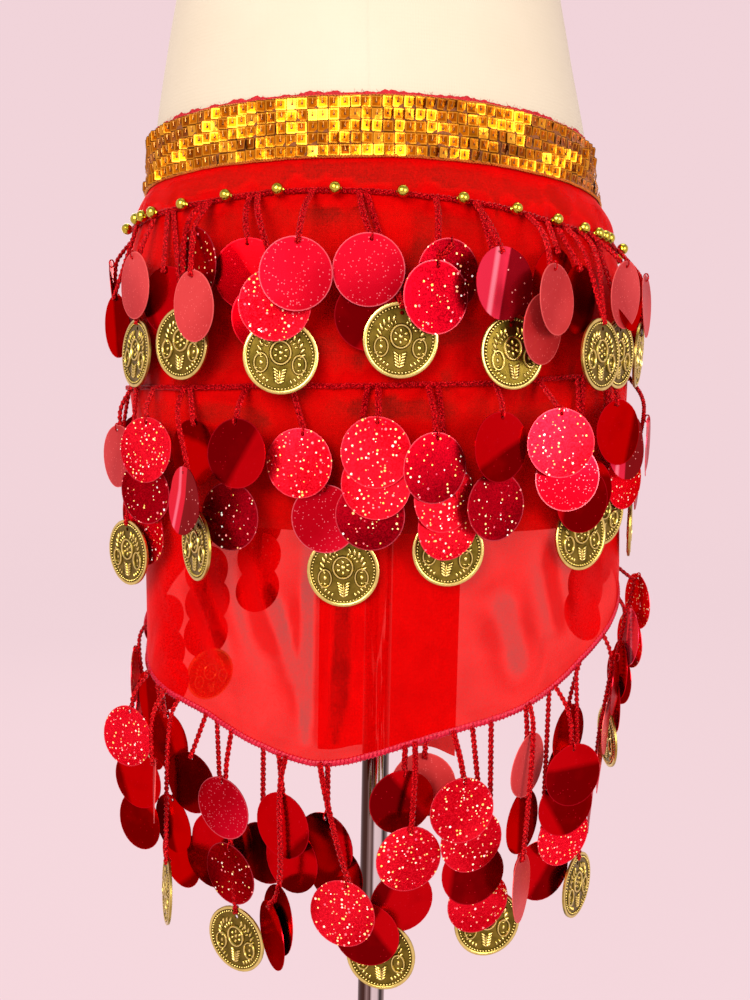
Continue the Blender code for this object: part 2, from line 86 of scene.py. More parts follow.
LEVELS = (  # arc, top of the band, bead string, middle string
    (-460, 0.961, 0.903, 0.812),
    (-300, 0.967, 0.911, 0.812),
    (-150, 0.974, 0.919, 0.814),
    (-50, 0.977, 0.926, 0.817),
    (50, 0.978, 0.923, 0.820),
    (150, 0.974, 0.912, 0.826),
    (300, 0.964, 0.903, 0.822),
    (460, 0.961, 0.903, 0.812),
)
SCARF_CENTRE, SCARF_REACH = -38, 402
OVAL_REACH, OVAL_LINE, OVAL_DEPTH = 415, 0.967, 0.360
POINT_DEPTH, POINT_WIDTH = 0.013, 60
CREASES = (  # arc and height of one end, of the other end, width in mm, depth in mm
    (-36, 0.735, -33, 0.596, 3.4, -3.4),
    (-43, 0.705, -40, 0.612, 5.0, 1.6),
    (-70, 0.700, -46, 0.625, 6.0, 1.5),
    (-92, 0.720, -66, 0.650, 8.0, -1.4),
    (-128, 0.710, -100, 0.640, 7.0, 1.3),
    (-20, 0.700, -26, 0.612, 5.0, 1.2),
    (70, 0.700, 96, 0.640, 9.0, 1.3),
    (110, 0.730, 128, 0.660, 8.0, -1.4),
    (-120, 0.800, -60, 0.792, 5.0, 1.0),
    (-20, 0.805, 48, 0.800, 6.0, 1.2),
    (60, 0.798, 118, 0.806, 5.0, 1.0),
    (-90, 0.846, -20, 0.836, 7.0, 1.1),
    (10, 0.842, 66, 0.850, 7.0, 1.1),
    (-52, 0.800, -49, 0.900, 3.0, 0.8),
    (6, 0.790, 8, 0.900, 3.0, 0.6),
    (88, 0.790, 90, 0.880, 3.0, 0.7),
)

# Band, strings and hem
BAND_HEIGHT = 33.5 * MM
SEQUIN_ROWS, SEQUIN_PITCH = 5, 7.1
BEAD_ARCS = (-176, -166, -153, -124, -91, -57, -22, 18, 54, 88, 117, 140, 155, 163, 169)
BEAD_SPACING, BEAD_REACH = 33, 385

# A row is one crochet chain: the arc of its root on the string, then where its discs hang. Each next disc is
# lower by step, to the side by drift, and further out by layer. turn is in degrees towards +X, and out is
# the first one's distance from the cloth. G and g are one glitter foil, painted lit and painted in shade, M
# and
# S one mirror foil with a painted dark and a painted bright reflection, P pale foil, H half pale and half
# dark as a painted reflection, and C a coin.
TOP_CHAINS = (  # root, arc, drop, step, drift, turn, out, layer, discs
    (-182, -188, 66, 0, 0, 8, 9, 0, "M"),
    (-153, -154, 45, 40, -3, -8, 12, -5, "PC"),
    (-141, -131, 56, 0, 0, 4, 6, 0, "M"),
    (-136, -113, 83, 0, 0, -3, 10, 0, "C"),
    (-104, -98, 40, 24, 1, -20, 18, 5, "gP"),
    (-76, -70, 48, 24, 9, 14, 13, -5, "MM"),
    (-71, -52, 66, 28, 1, 16, 19, -6, "GC"),
    (-36, -39, 50, 0, 0, 14, 24, 0, "S"),
    (-8, -2, 46, 24, -2, 2, 14, -8, "SM"),
    (-4, 13, 83, 0, 0, 5, 10, 0, "C"),
    (38, 31, 59, -13, 9, 16, 20, -5, "gg"),
    (62, 64, 48, 0, 0, 17, 22, 0, "H"),
    (65, 72, 84, 0, 0, 10, 12, 0, "C"),
    (96, 93, 52, 17, -5, 26, 24, -5, "PP"),
    (112, 106, 39, 0, 0, 18, 8, 0, "M"),
    (118, 121, 46, 0, 0, 18, 9, 0, "M"),
    (124, 128, 77, 0, 0, 14, 18, 0, "C"),
    (150, 149, 39, 0, 9, 8, 20, -4, "PM"),
    (157, 156, 73, 0, 0, 6, 9, 0, "C"),
)
MIDDLE_CHAINS = (  # root, arc, drop, step, drift, turn, out, layer, discs
    (-186, -181, 45, 34, 4, 8, 14, -10, "PM"),
    (-176, -170, 106, 0, 0, 10, 12, 0, "C"),
    (-151, -144, 39, 27, -7, 12, 14, -4, "GgG"),
    (-118, -110, 40, 0, 0, -12, 8, 0, "M"),
    (-122, -107, 67, 27, 3, -28, 21, -6, "HC"),
    (-78, -78, 39, 37, -5, -5, 18, -5, "Mg"),
    (-50, -42, 45, 32, 12, -9, 10, -4, "GS"),
    (-6, -20, 108, 0, 0, 0, 2.5, 0, "C"),
    (0, -1, 38, 18, -2, -11, 21, -4, "GGg"),
    (28, 30, 47, 17, 5, 17, 22, -4, "gGG"),
    (34, 43, 97, 0, 0, -3, 4, 0, "C"),
    (68, 65, 37, 34, -2, 17, 20, -5, "Mg"),
    (96, 98, 37, 21, 7, -14, 23, -5, "GS"),
    (126, 123, 74, -3, 12, -2, 12, -4, "MM"),
    (131, 130, 98, 0, 0, -5, 4, 0, "C"),
    (146, 148, 35, 0, 0, -7, 14, 0, "M"),
    (162, 164, 45, 20, 8, -8, 12, -4, "HG"),
    (156, 158, 86, 0, 0, -5, 3, 0, "C"),
)
HEM_CHAINS = (  # root, arc, drop, step, drift, turn, out, layer, discs
    (-196, -196, 34, 30, -2, 8, 0, -4, "MM"),
    (-177, -172, 40, 34, -5, 26, 16, -5, "GMM"),
    (-166, -156, 96, 24, 2, 6, -6, -4, "MM"),
    (-160, -150, 34, 0, 0, 6, 2, 0, "M"),
    (-154, -143, 58, 0, 0, -34, 18, 0, "P"),
    (-142, -138, 124, 0, 0, -34, 13, 0, "C"),
    (-119, -124, 47, 0, 0, 4, 8, 0, "M"),
    (-110, -109, 82, 18, -9, 4, -1, -4, "MM"),
    (-97, -97, 48, 42, 4, -8, 11, -3, "SgC"),
    (-73, -75, 74, 0, 0, -12, -6, 0, "M"),
    (-62, -56, 39, 22, 5, -20, 12, -5, "MM"),
    (-57, -54, 93, 12, -5, -48, 20, 0, "MM"),
    (-30, -30, 50, 20, 4, -24, 6, -4, "MM"),
    (-35, -16, 87, 18, 10, -10, 20, -4, "GMC"),
    (24, 20, 65, 0, 0, 12, 18, 0, "G"),
    (18, 17, 33, 66, 2, 12, 9, -5, "MM"),
    (31, 31, 32, 0, 0, -4, -4, 0, "P"),
    (48, 50, 43, 23, 5, 4, 20, -4, "GGMG"),
    (72, 73, 130, 0, 0, -4, 2, 0, "C"),
    (99, 86, 106, 0, 0, 44, 16, 0, "P"),
    (96, 95, 36, 38, -2, 26, 8, -5, "PM"),
    (121, 122, 54, 24, 3, -10, 18, -5, "MMG"),
    (116, 117, 122, 0, 0, -8, -3, 0, "M"),
    (145, 147, 150, 0, 0, 10, 6, 0, "C"),
    (150, 146, 50, 28, 4, 6, -4, -7, "MM"),
    (176, 176, 34, 30, 2, 12, 10, -5, "MPSM"),
    (208, 208, 28, 26, 2, 14, 8, -4, "HMMC"),
    (236, 236, 30, 30, 2, 6, 20, -4, "GGM"),
)
SECOND_ROOTS = {  # arc of a coin, then the root of a second chain to it and how far out that one passes
    "top": {-113: (-105, 24), 128: (138, 20)},
    "middle": {},
    "hem": {73: (60, 6)},
}
BACK_PITCH, BACK_TURN = 42, 11
BACK_TOP = ("GC", "MM", "PC", "SM")
BACK_MIDDLE = ("GMC", "MG", "HMC", "GM")
BACK_HEM = ("MGM", "GMC", "SMM", "GMMC")
BACK_STEP, BACK_COIN_STEP, BACK_DRIFT = 23, 31, 2
TOP_REACH, MIDDLE_REACH, HEM_REACH = (-385, 322), (-330, 270), (-372, 316)
# A back row's rearmost disc from the cloth, the spacing of its layers, and the drop of its first discs
BACK_TOP_PLACE, BACK_MIDDLE_PLACE, BACK_HEM_PLACE = (8, 5, 34), (6, 4, 42), (7, 4, 42)
MIDDLE_HANG = 0.795
KNEE_OUT, KNEE_DROP = 12, 13
LINE_DROP = 1.2 * MM
HOLE_DOWN = 3.4 * MM
CHAIN_PERIOD = 2.6  # length of a crochet stitch over the chain's width
COIN_SIDES = 40
COIN_RIM = (  # share of the radius, height in mm, tone
    (0.90, 0.0, 0.15),
    (0.925, 0.45, 0.9),
    (0.965, 0.5, 1.0),
    (1.0, 0.15, 0.8),
)

# Form and stand
FORM_SECTIONS = (  # height, half width, half depth, shift towards the back
    (0.730, 0.1510, 0.1070, 0.000),
    (0.738, 0.1585, 0.1120, 0.000),
    (0.765, 0.1630, 0.1155, 0.000),
    (0.820, 0.1660, 0.1176, 0.000),
    (0.870, 0.1640, 0.1166, 0.000),
    (0.920, 0.1525, 0.1124, 0.000),
    (0.938, 0.1472, 0.1094, 0.000),
    (0.950, 0.1450, 0.1086, 0.000),
    (0.985, 0.1402, 0.1052, 0.000),
    (1.034, 0.1308, 0.0980, 0.000),
    (1.090, 0.1215, 0.0895, 0.000),
    (1.145, 0.1255, 0.0920, -0.001),
    (1.205, 0.1350, 0.1020, -0.006),
    (1.255, 0.1420, 0.1140, -0.012),
    (1.305, 0.1470, 0.1090, -0.008),
    (1.355, 0.1540, 0.0940, 0.000),
    (1.395, 0.1550, 0.0800, 0.006),
    (1.420, 0.1280, 0.0700, 0.009),
    (1.440, 0.0850, 0.0600, 0.010),
    (1.460, 0.0600, 0.0530, 0.009),
    (1.494, 0.0545, 0.0505, 0.006),
    (1.500, 0.0500, 0.0460, 0.006),
)
LEAN = (  # height, shift towards +X: the form stands a little askew on its pole
    (0.700, 0.0000),
    (0.810, -0.0030),
    (0.900, -0.0075),
    (0.950, -0.0100),
    (1.034, -0.0135),
    (1.200, -0.0150),
)
BASE_RADIUS, BASE_HEIGHT = 0.180, 0.010
BOSS_RADIUS, BOSS_HEIGHT = 0.022, 0.026
FILLET = 3 * MM
POLE_RADIUS, FORM_BOTTOM = 0.0098, 0.730

# Tie behind
KNOT_ARC, KNOT_HEIGHT = 446, 0.945
KNOT_HALF = (0.018, 0.013, 0.017)
KNOT_OVERLAP = 8
TIE_WIDE, TIE_NARROW = 0.030, 0.015
TAIL_ARC, TAIL_TUCK = 446.9, 0.0036
TAIL_END, TAIL_WIDE, TAIL_NARROW, TAIL_HANG = 0.505, 0.056, 0.017, 0.82

# Camera and paper
CAMERA_PLACE, CAMERA_PITCH, CAMERA_ROLL, CAMERA_LENS = (-0.004, -0.68, 0.82), math.atan(120 / 980), 1.1, 35.28
PAPER_PROFILE = ((0.01, -0.001), (3.6, -0.001), (3.9, 0.08), (4.0, 0.35), (4.0, 4.2))  # radius, height
PAPER_SIDES = 96

UP = np.array([0, 0, 1.0])
OUTWARDS = np.array([1, 1.9, 0])  # turns a place on the hips into about the direction outwards there


class ClothSettings(bpy.types.PropertyGroup):
    colour: FloatVectorProperty(name="Chiffon", description="Colour of the dyed cloth", subtype="COLOR",
                                size=3, default=(0.84, 0.0002, 0.0008), min=0, max=1)
    tint: FloatVectorProperty(name="Sheer tint", description="What light keeps of its colour between threads",
                              subtype="COLOR", size=3, default=(0.80, 0.34, 0.315), min=0, max=1)
    openness: FloatProperty(name="Openness", description="Share of the light that passes between the threads",
                            subtype="FACTOR", default=0.74, min=0, max=1)
    tie_openness: FloatProperty(name="Openness of the tie", description="The same for the doubled tie",
                                subtype="FACTOR", default=0.55, min=0, max=1)
    thickness: FloatProperty(name="Thickness", description="Thickness of the cloth", subtype="DISTANCE",
                             unit="LENGTH", default=0.0004, min=0.0001, max=0.002)


class TrimSettings(bpy.types.PropertyGroup):
    bead: FloatProperty(name="Bead", description="Diameter of a bead", subtype="DISTANCE", unit="LENGTH",
                        default=0.0072, min=0.003, max=0.012)
    sequin: FloatProperty(name="Sequin", description="Side of a square sequin", subtype="DISTANCE",
                          unit="LENGTH", default=0.0066, min=0.003, max=0.010)
    paillette: FloatProperty(name="Paillette", description="Diameter of a paillette", subtype="DISTANCE",
                             unit="LENGTH", default=0.040, min=0.02, max=0.06)
    coin: FloatProperty(name="Coin", description="Diameter of a coin", subtype="DISTANCE", unit="LENGTH",
                        default=0.042, min=0.02, max=0.06)
    coin_beads: IntProperty(name="Coin beads", description="Beads in the ring inside a coin's rim",
                            default=60, min=24, max=90)
    yarn: FloatProperty(name="Yarn", description="Width of a crochet chain", subtype="DISTANCE",
                        unit="LENGTH", default=0.0039, min=0.002, max=0.006)


class StageSettings(bpy.types.PropertyGroup):
    paper: FloatVectorProperty(name="Paper", description="Colour of the floor and backdrop", subtype="COLOR",
                               size=3, default=(0.879, 0.665, 0.708), min=0, max=1)
    key: FloatProperty(name="Key light", description="Power of the large soft light", unit="POWER",
                       default=48.0, min=0)
    fill: FloatProperty(name="Fill light", description="Power of the smaller soft light", unit="POWER",
                        default=24.0, min=0)


def settings(name):
    return getattr(bpy.context.scene, "dance_scarf_" + name)


def linear(code):
    """An sRGB hex colour as linear red, green, blue and alpha."""
    values = [int(code[i:i + 2], 16) / 255 for i in (1, 3, 5)]
    return (*[v / 12.92 if v <= 0.04045 else ((v + 0.055) / 1.055) ** 2.4 for v in values], 1.0)


def add(tree, kind, *inputs, stops=(), **properties):
    """Adds a node and returns its outputs. Its inputs come in order, or as one dictionary.

    A socket is linked, a hex colour is made linear and any other value is set. stops are a colour ramp's.
    """
    node = tree.nodes.new("ShaderNode" + kind)
    for key, value in properties.items():
        setattr(node, key, value)
    for k, (position, code) in enumerate(stops):
        elements = node.color_ramp.elements
        element = elements[k] if k < 2 else elements.new(position)
        element.position, element.color = position, linear(code)
    named = inputs[0] if inputs and isinstance(inputs[0], dict) else dict(enumerate(inputs))
    for key, value in named.items():
        if isinstance(value, bpy.types.NodeSocket):
            tree.links.new(value, node.inputs[key])
        else:
            node.inputs[key].default_value = linear(value) if isinstance(value, str) else value
    return node.outputs


def new_material(name):
    """A material, its tree, and its coordinates. They are in metres, so a texture's scale is per metre."""
    material = bpy.data.materials.new(name)
    material.use_nodes = True
    material.node_tree.nodes.clear()
    return material, material.node_tree, add(material.node_tree, "TexCoord")


def finish(material, values, height=None, depth=0.0, strength=1.0, passes=None, tint=None):
    """Ends a material with its shader and relief, and if it is sheer, the share and tint of light it passes.

    height is a bump texture, depth its depth in metres.
    """
    tree = material.node_tree
    if height is not None:
        bump = {"Height": height, "Distance": depth, "Strength": strength}
        values = {**values, "Normal": add(tree, "Bump", bump)[0]}
    surface = add(tree, "BsdfPrincipled", values)[0]
    if passes is not None:
        surface = add(tree, "MixShader", passes, surface, add(tree, "BsdfTransparent", tint)[0])[0]
    add(tree, "OutputMaterial", surface)
    return material


def grained(name, per_metre, stops, values, depth, strength=1.0):
    """A material whose colour and relief both follow one fine grain."""
    material, tree, spot = new_material(name)
    grain = add(tree, "TexNoise", {"Vector": spot["Object"], "Scale": per_metre, "Detail": 2.0})[0]
    return finish(material, {"Base Color": add(tree, "ValToRGB", grain, stops=stops)[0], **values},
                  grain, depth, strength)


def wave_scale(apart):
    """The scale of a wave texture whose bands are that far apart."""
    return 1 / apart / 6.283 * 2


def chromed_steel(name, painted_room_reflection):
    """Steel, polished and chromed: a near mirror with faint lengthwise polishing and hazy smears.

    When its second argument is true, dark and pale bands are painted up it: a painted reflection of the unlit
    and lit parts of a room, as a round pole would show them.
    """
    material, tree, spot = new_material(name)
    stretched = add(tree, "Mapping", {"Vector": spot["Object"], "Scale": (900, 900, 14)})[0]
    lines = add(tree, "TexNoise", {"Vector": stretched, "Scale": 1.0, "Detail": 3.0})[0]
    smears = add(tree, "TexNoise", {"Vector": spot["Object"], "Scale": 18.0, "Detail": 4.0})[0]
    colour = "#D9D9DA"
    if painted_room_reflection:
        # Painted reflection: the colour goes round the pole in dark and pale bands, standing for a room's
        # unlit and lit parts seen in the chrome.
        around = add(tree, "TexGradient", spot["Object"], gradient_type="RADIAL")["Fac"]
        wander = add(tree, "MapRange", lines, 0.0, 1.0, -0.015, 0.015)[0]
        colour = add(tree, "ValToRGB", add(tree, "Math", around, wander, operation="ADD")[0], stops=(
            (0.0, "#3C2620"), (0.16, "#4A322A"), (0.20, "#9A8A84"), (0.235, "#4A2E28"), (0.26, "#E4E0DE"),
            (0.33, "#DCD8D6"), (0.36, "#181210"), (0.44, "#8A7C76"), (1.0, "#3C2620")))[0]
    rough = add(tree, "MapRange", smears, 0.35, 0.75, 0.05, 0.16)[0]
    return finish(material, {"Base Color": colour, "Metallic": 1.0, "Roughness": rough}, lines, 0.00002, 0.4)


def cotton_jersey():
    """Cream cotton jersey, knitted and pulled tight over the form: matt, with fine upright wales.

    The wales of the real knit are 0.8 mm apart. They are drawn at 1.6 mm so that they show.
    """
    material, tree, spot = new_material("cotton_jersey")
    shade = add(tree, "TexNoise", {"Vector": spot["Object"], "Scale": 9.0, "Detail": 5.0})[0]
    colour = add(tree, "ValToRGB", shade, stops=((0.25, "#B9B29C"), (0.75, "#C1BCA8")))[0]
    wales = add(tree, "TexWave", {
        "Vector": spot["UV"], "Scale": wave_scale(1.6 * MM), "Distortion": 1.2, "Detail": 1.0,
        "Detail Scale": 2.0}, bands_direction="X")["Fac"]
    courses = add(tree, "TexWave", {
        "Vector": spot["UV"], "Scale": wave_scale(2.2 * MM), "Distortion": 1.5}, bands_direction="Y")["Fac"]
    knit = add(tree, "Math", wales, courses, operation="ADD")[0]
    from_seam = add(tree, "Math", add(tree, "SeparateXYZ", spot["UV"])[0], operation="ABSOLUTE")[0]
    seam = add(tree, "MapRange", from_seam, 0.0, 1.6 * MM, -7.0, 0.0)[0]
    return finish(material, {
        "Base Color": colour, "Roughness": 0.92, "Sheen Weight": 0.15, "Sheen Roughness": 0.5,
        "Specular IOR Level": 0.25}, add(tree, "Math", knit, seam, operation="ADD")[0], 0.00008, 0.6)


def sheer_chiffon(name, openness):
    """Polyester chiffon, plain-woven and dyed red: sheer, with a soft bloom and a slightly crepe face.

    Its threads are 0.3 mm apart. They are drawn at 1 mm so that they show close up. Light that passes
    between them is filtered red, so what lies behind reads as red or coral. Less passes at a grazing angle
    and where the cloth is gathered in a crease. Its red is painted darker in the creases and where the rumple
    of its relief dips, and lighter where it rises, as painted shade and light of the folds.
    """
    cloth = settings("cloth")
    material, tree, spot = new_material(name)
    warp, weft = (add(tree, "TexWave", {
        "Vector": spot["UV"], "Scale": wave_scale(1 * MM), "Distortion": 0.6}, bands_direction=way)["Fac"]
        for way in ("X", "Y"))
    crepe = add(tree, "TexNoise", {"Vector": spot["Object"], "Scale": 700.0, "Detail": 1.0})[0]
    rumple = add(tree, "TexNoise", {
        "Vector": spot["Object"], "Scale": 34.0, "Detail": 1.0, "Distortion": 0.9})[0]
    crease_shade_and_bunching = add(tree, "Attribute", attribute_name="tone")["Fac"]
    weave = add(tree, "Math", warp, weft, operation="ADD")[0]
    grain = add(tree, "Math", weave, 0.25, crepe, operation="MULTIPLY_ADD")[0]
    height = add(tree, "Math", rumple, 24.0, grain, operation="MULTIPLY_ADD")[0]
    smooth = add(tree, "Math", 0.5, crease_shade_and_bunching, operation="SUBTRACT")[0]
    soft = add(tree, "Math", rumple, smooth, operation="ADD")[0]
    # Painted shade and light of the folds: the red is darkened where the rumple noise dips and in creases,
    # and lightened where it rises.
    shade = add(tree, "MapRange", soft, 0.1, 0.8, 0.72, 1.26)[0]
    dyed = add(tree, "VectorMath", {0: cloth.colour, "Scale": shade}, operation="SCALE")[0]
    grazing = add(tree, "LayerWeight", 0.35)["Facing"]
    passes = openness - 0.025
    for source, effect in ((grazing, -0.34), (grain, 0.22), (rumple, 0.22), (crease_shade_and_bunching, -0.5)):
        passes = add(tree, "Math", source, effect, passes, operation="MULTIPLY_ADD")[0]
    return finish(material, {
        "Base Color": dyed, "Roughness": 0.48, "Specular IOR Level": 0.16, "Specular Tint": "#FF4A44"},
        height, 0.00012, 0.8, passes, (*cloth.tint, 1))


def frayed_chiffon():
    """The raw top edge of the chiffon, doubled and fuzzy, so darker and matt."""
    return grained("frayed_chiffon", 1500, ((0.3, "#7E0410"), (0.7, "#BE0C1C")), {"Roughness": 0.85}, 0.0002)


def sequin_film():
    """Metallised PET film, stamped into squares: gold in many tones, with a pale band inside its edge that is
    a painted highlight, and a dark cut edge that is painted shade of the gaps between sequins.
    """
    material, tree, spot = new_material("sequin_film")
    tone = add(tree, "Attribute", attribute_name="tone")["Fac"]
    colour = add(tree, "ValToRGB", tone, stops=(
        (0.0, "#5E2802"), (0.35, "#A25404"), (0.7, "#C4720A"), (1.0, "#EEB236")))[0]
    centred = add(tree, "VectorMath", spot["UV"], (0.5, 0.5, 0.0), operation="SUBTRACT")[0]
    across = add(tree, "SeparateXYZ", add(tree, "VectorMath", centred, operation="ABSOLUTE")[0])
    reach = add(tree, "Math", across[0], across[1], operation="MAXIMUM")[0]
    # Painted highlight: a pale band just inside each sequin's edge. Painted shade: its outermost edge is
    # darkened, as the gaps between sequins are.
    for start, full, share, code in ((0.31, 0.37, 0.5, "#F4AC34"), (0.42, 0.46, 0.85, "#4A2204")):
        edge = add(tree, "MapRange", reach, start, full, 0.0, share)[0]
        colour = add(tree, "Mix", {0: edge, 6: colour, 7: code}, data_type="RGBA")[2]
    dents = add(tree, "TexNoise", {"Vector": spot["Object"], "Scale": 500.0, "Detail": 2.0})[0]
    return finish(material, {"Base Color": colour, "Metallic": 1.0, "Roughness": 0.28}, dents, 0.0002, 0.5)


def gold_thread():
    """Rayon thread wound with gold film, corded: fine glints."""
    return grained("gold_thread", 1800, ((0.35, "#A85A12"), (0.65, "#F0B254")),
                   {"Metallic": 0.55, "Roughness": 0.42}, 0.0001)


def band_ribbon():
    """The woven amber ribbon under the sequins: matt and dark between them, with ribs 0.9 mm apart."""
    material, tree, spot = new_material("band_ribbon")
    ribs = add(tree, "TexWave", {
        "Vector": spot["UV"], "Scale": wave_scale(0.9 * MM), "Distortion": 0.5}, bands_direction="X")["Fac"]
    colour = add(tree, "ValToRGB", ribs, stops=((0.0, "#4E2404"), (1.0, "#9A5510")))[0]
    return finish(material, {"Base Color": colour, "Roughness": 0.7}, ribs, 0.0002)


def plated_bead():
    """Moulded acrylic bead, vacuum plated in pale gold: smooth, bright, faintly orange-peeled."""
    return grained("plated_bead", 420, ((0.3, "#B4A428"), (0.7, "#D8CC50")),
                   {"Metallic": 1.0, "Roughness": 0.16}, 0.00015, 0.4)


def crochet_yarn():
    """Mercerised crochet yarn, chain-stitched: red with glossy pinkish glints on every ply."""
    return grained("crochet_yarn", 1500, ((0.38, "#5A0004"), (0.54, "#960107"), (0.66, "#E81A22")),
                   {"Roughness": 0.26, "Specular IOR Level": 0.4, "Specular Tint": "#FF5050"}, 0.00025)


def overlock_thread():
    """Textured polyester thread of the overlocked hem: magenta red, whipped round the edge at a slant."""
    return grained("overlock_thread", 1300, ((0.3, "#8E0620"), (0.6, "#C40E30"), (0.85, "#E84A68")),
                   {"Roughness": 0.45, "Specular IOR Level": 0.3}, 0.0002)


def film_face(tree, spot, softness, rim_highlight_share):
    """For a disc: 0 on one side of a slanting line and 1 on the other, the halves of a painted reflection,
    and its punched rim, where a painted highlight goes.

    Where the line lies and how it slants follows the disc's tone, so that each shows a painted reflection of
    another window.
    """
    tone = add(tree, "Attribute", attribute_name="tone")["Fac"]
    slant, place = (add(tree, "Math", tone, factor, operation="MULTIPLY")[0] for factor in (23.0, 71.0))
    cosine, sine = (add(tree, "Math", slant, operation=kind)[0] for kind in ("COSINE", "SINE"))
    way = add(tree, "CombineXYZ", cosine, sine)[0]
    centred = add(tree, "VectorMath", spot["UV"], (0.5, 0.5, 0.0), operation="SUBTRACT")[0]
    across = add(tree, "VectorMath", centred, way, operation="DOT_PRODUCT")["Value"]
    shift = add(tree, "Math", place, operation="SINE")[0]
    line = add(tree, "Math", shift, 0.34, across, operation="MULTIPLY_ADD")[0]
    reach = add(tree, "VectorMath", centred, operation="LENGTH")["Value"]
    return (add(tree, "MapRange", line, -softness, softness)[0],
            add(tree, "MapRange", reach, 0.480, 0.492, 0.0, rim_highlight_share)[0])


def flecks(tree, spot, apart, least, spread, share):
    """1 in round flecks and 0 elsewhere, and three random numbers for each fleck.

    The flecks are that far apart, least and spread set their size, and share is how many are there.
    """
    cells = add(tree, "TexVoronoi", {"Vector": spot["Object"], "Scale": 1 / apart})
    random = add(tree, "SeparateColor", cells["Color"])
    size = add(tree, "Math", random[2], spread, least, operation="MULTIPLY_ADD")[0]
    near = add(tree, "Math", cells["Distance"], size, operation="LESS_THAN")[0]
    chosen = add(tree, "Math", random[0], 1 - share, operation="GREATER_THAN")[0]
    return add(tree, "Math", near, chosen, operation="MULTIPLY")[0], random


def smooth_foil(name, dark, bright, rim_highlight_code, rough, metallic=1.0, softness=0.05, flaked=0.14):
    """Metallised PET film, punched: smooth and mirror-like, with a dark and a bright side painted on each
    disc as a painted reflection.

    Its punched rim is painted pale, a painted highlight. A few flakes of 0.7 mm are painted pale as painted
    glints.
    """
    material, tree, spot = new_material(name)
    # Painted reflection: the colour runs from dark to bright across a wavy slanting line. Painted highlight:
    # the rim and a few flakes are paler.
    side, rim = film_face(tree, spot, softness, 0.4)
    ripple = add(tree, "TexNoise", {"Vector": spot["Object"], "Scale": 70.0, "Detail": 4.0})[0]
    wavy = add(tree, "MapRange", ripple, 0.0, 1.0, -0.45, 0.45)[0]
    blend = add(tree, "Math", side, wavy, operation="ADD")[0]
    film = add(tree, "ValToRGB", blend, stops=((0.0, dark), (1.0, bright)))[0]
    flakes = flecks(tree, spot, 1.6 * MM, 0.22, 0.0, flaked)[0]
    painted_glint = add(tree, "Math", flakes, 0.55, operation="MULTIPLY")[0]
    pale = add(tree, "Math", painted_glint, rim, operation="MAXIMUM")[0]
    colour = add(tree, "Mix", {0: pale, 6: film, 7: rim_highlight_code}, data_type="RGBA")[2]
    fine = add(tree, "TexNoise", {"Vector": spot["Object"], "Scale": 900.0, "Detail": 2.0})[0]
    return finish(material, {
        "Base Color": colour, "Metallic": metallic, "Roughness": rough, "Specular Tint": rim_highlight_code},
        fine, 0.00003, 0.5)


def glitter_foil(name, dark, bright, share):
    """Holographic PET film: flakes of 0.7 mm, with flecks up to 1.5 mm painted white, gold and pink as
    painted glints. Each disc also shows a painted reflection, dark on one side and bright on the other, and a
    painted highlight on its rim.
    """
    material, tree, spot = new_material(name)
    side, rim = film_face(tree, spot, 0.22, 0.35)
    flake = add(tree, "SeparateColor", add(tree, "TexVoronoi", {
        "Vector": spot["Object"], "Scale": 1 / (0.7 * MM)})["Color"])
    flaky = add(tree, "MapRange", flake[0], 0.0, 1.0, -0.2, 0.6)[0]
    blend = add(tree, "Math", side, 0.6, flaky, operation="MULTIPLY_ADD")[0]
    # Painted reflection: the film runs from dark to bright across the disc's slanting line, each flake
    # randomly a little darker or brighter.
    film = add(tree, "ValToRGB", blend, stops=((0.0, dark), (1.0, bright)))[0]
    mask, random = flecks(tree, spot, 2.3 * MM, 0.12, 0.20, share)
    # Painted glints: the flecks are coloured white, gold and pink and made less metallic, so they shine under
    # any light.
    painted_flash_colour = add(tree, "ValToRGB", random[1], stops=(
        (0.0, "#FF5A78"), (0.25, "#FF9C94"), (0.45, "#FFD868"), (0.75, "#FFF0B8"), (1.0, "#FFFFFF")))[0]
    # Painted highlight on the rim.
    rim_painted_highlight = add(tree, "Mix", {0: rim, 6: film, 7: "#F06070"}, data_type="RGBA")[2]
    return finish(material, {
        "Base Color": add(tree, "Mix", {0: mask, 6: rim_painted_highlight, 7: painted_flash_colour}, data_type="RGBA")[2],
        "Metallic": add(tree, "Math", mask, -0.8, 1.0, operation="MULTIPLY_ADD")[0],
        "Roughness": 0.3, "Specular Tint": "#FF4A50"}, flake[1], 0.00012, 0.6)


def creased_foil():
    """Film that was creased across, its halves painted as two reflections: one half pale pink with a pale
    streak that is a painted highlight, the other dark with pale flecks that are painted glints.
    """
    material, tree, spot = new_material("creased_foil")
    place = add(tree, "SeparateXYZ", spot["UV"])
    slant = add(tree, "Math", place[1], -0.30, place[0], operation="MULTIPLY_ADD")[0]
    # Painted reflection: one side of the crease pale pink with a painted highlight streak, the other dark
    # with painted glints.
    side = add(tree, "MapRange", slant, 0.36, 0.39)[0]
    off = add(tree, "Math", add(tree, "Math", slant, 0.16, operation="SUBTRACT")[0], operation="ABSOLUTE")[0]
    streak = add(tree, "MapRange", off, 0.02, 0.07, 1.0, 0.0)[0]
    mask = flecks(tree, spot, 2.4 * MM, 0.2, 0.0, 0.28)[0]
    pale = add(tree, "Mix", {0: streak, 6: "#E8304C", 7: "#FF8C9C"}, data_type="RGBA")[2]
    dark = add(tree, "Mix", {0: mask, 6: "#7C0410", 7: "#FFB0A4"}, data_type="RGBA")[2]
    colour = add(tree, "Mix", {0: side, 6: pale, 7: dark}, data_type="RGBA")[2]
    return finish(material, {
        "Base Color": colour, "Metallic": 0.8, "Roughness": 0.22, "Specular Tint": "#FF5A6A"})


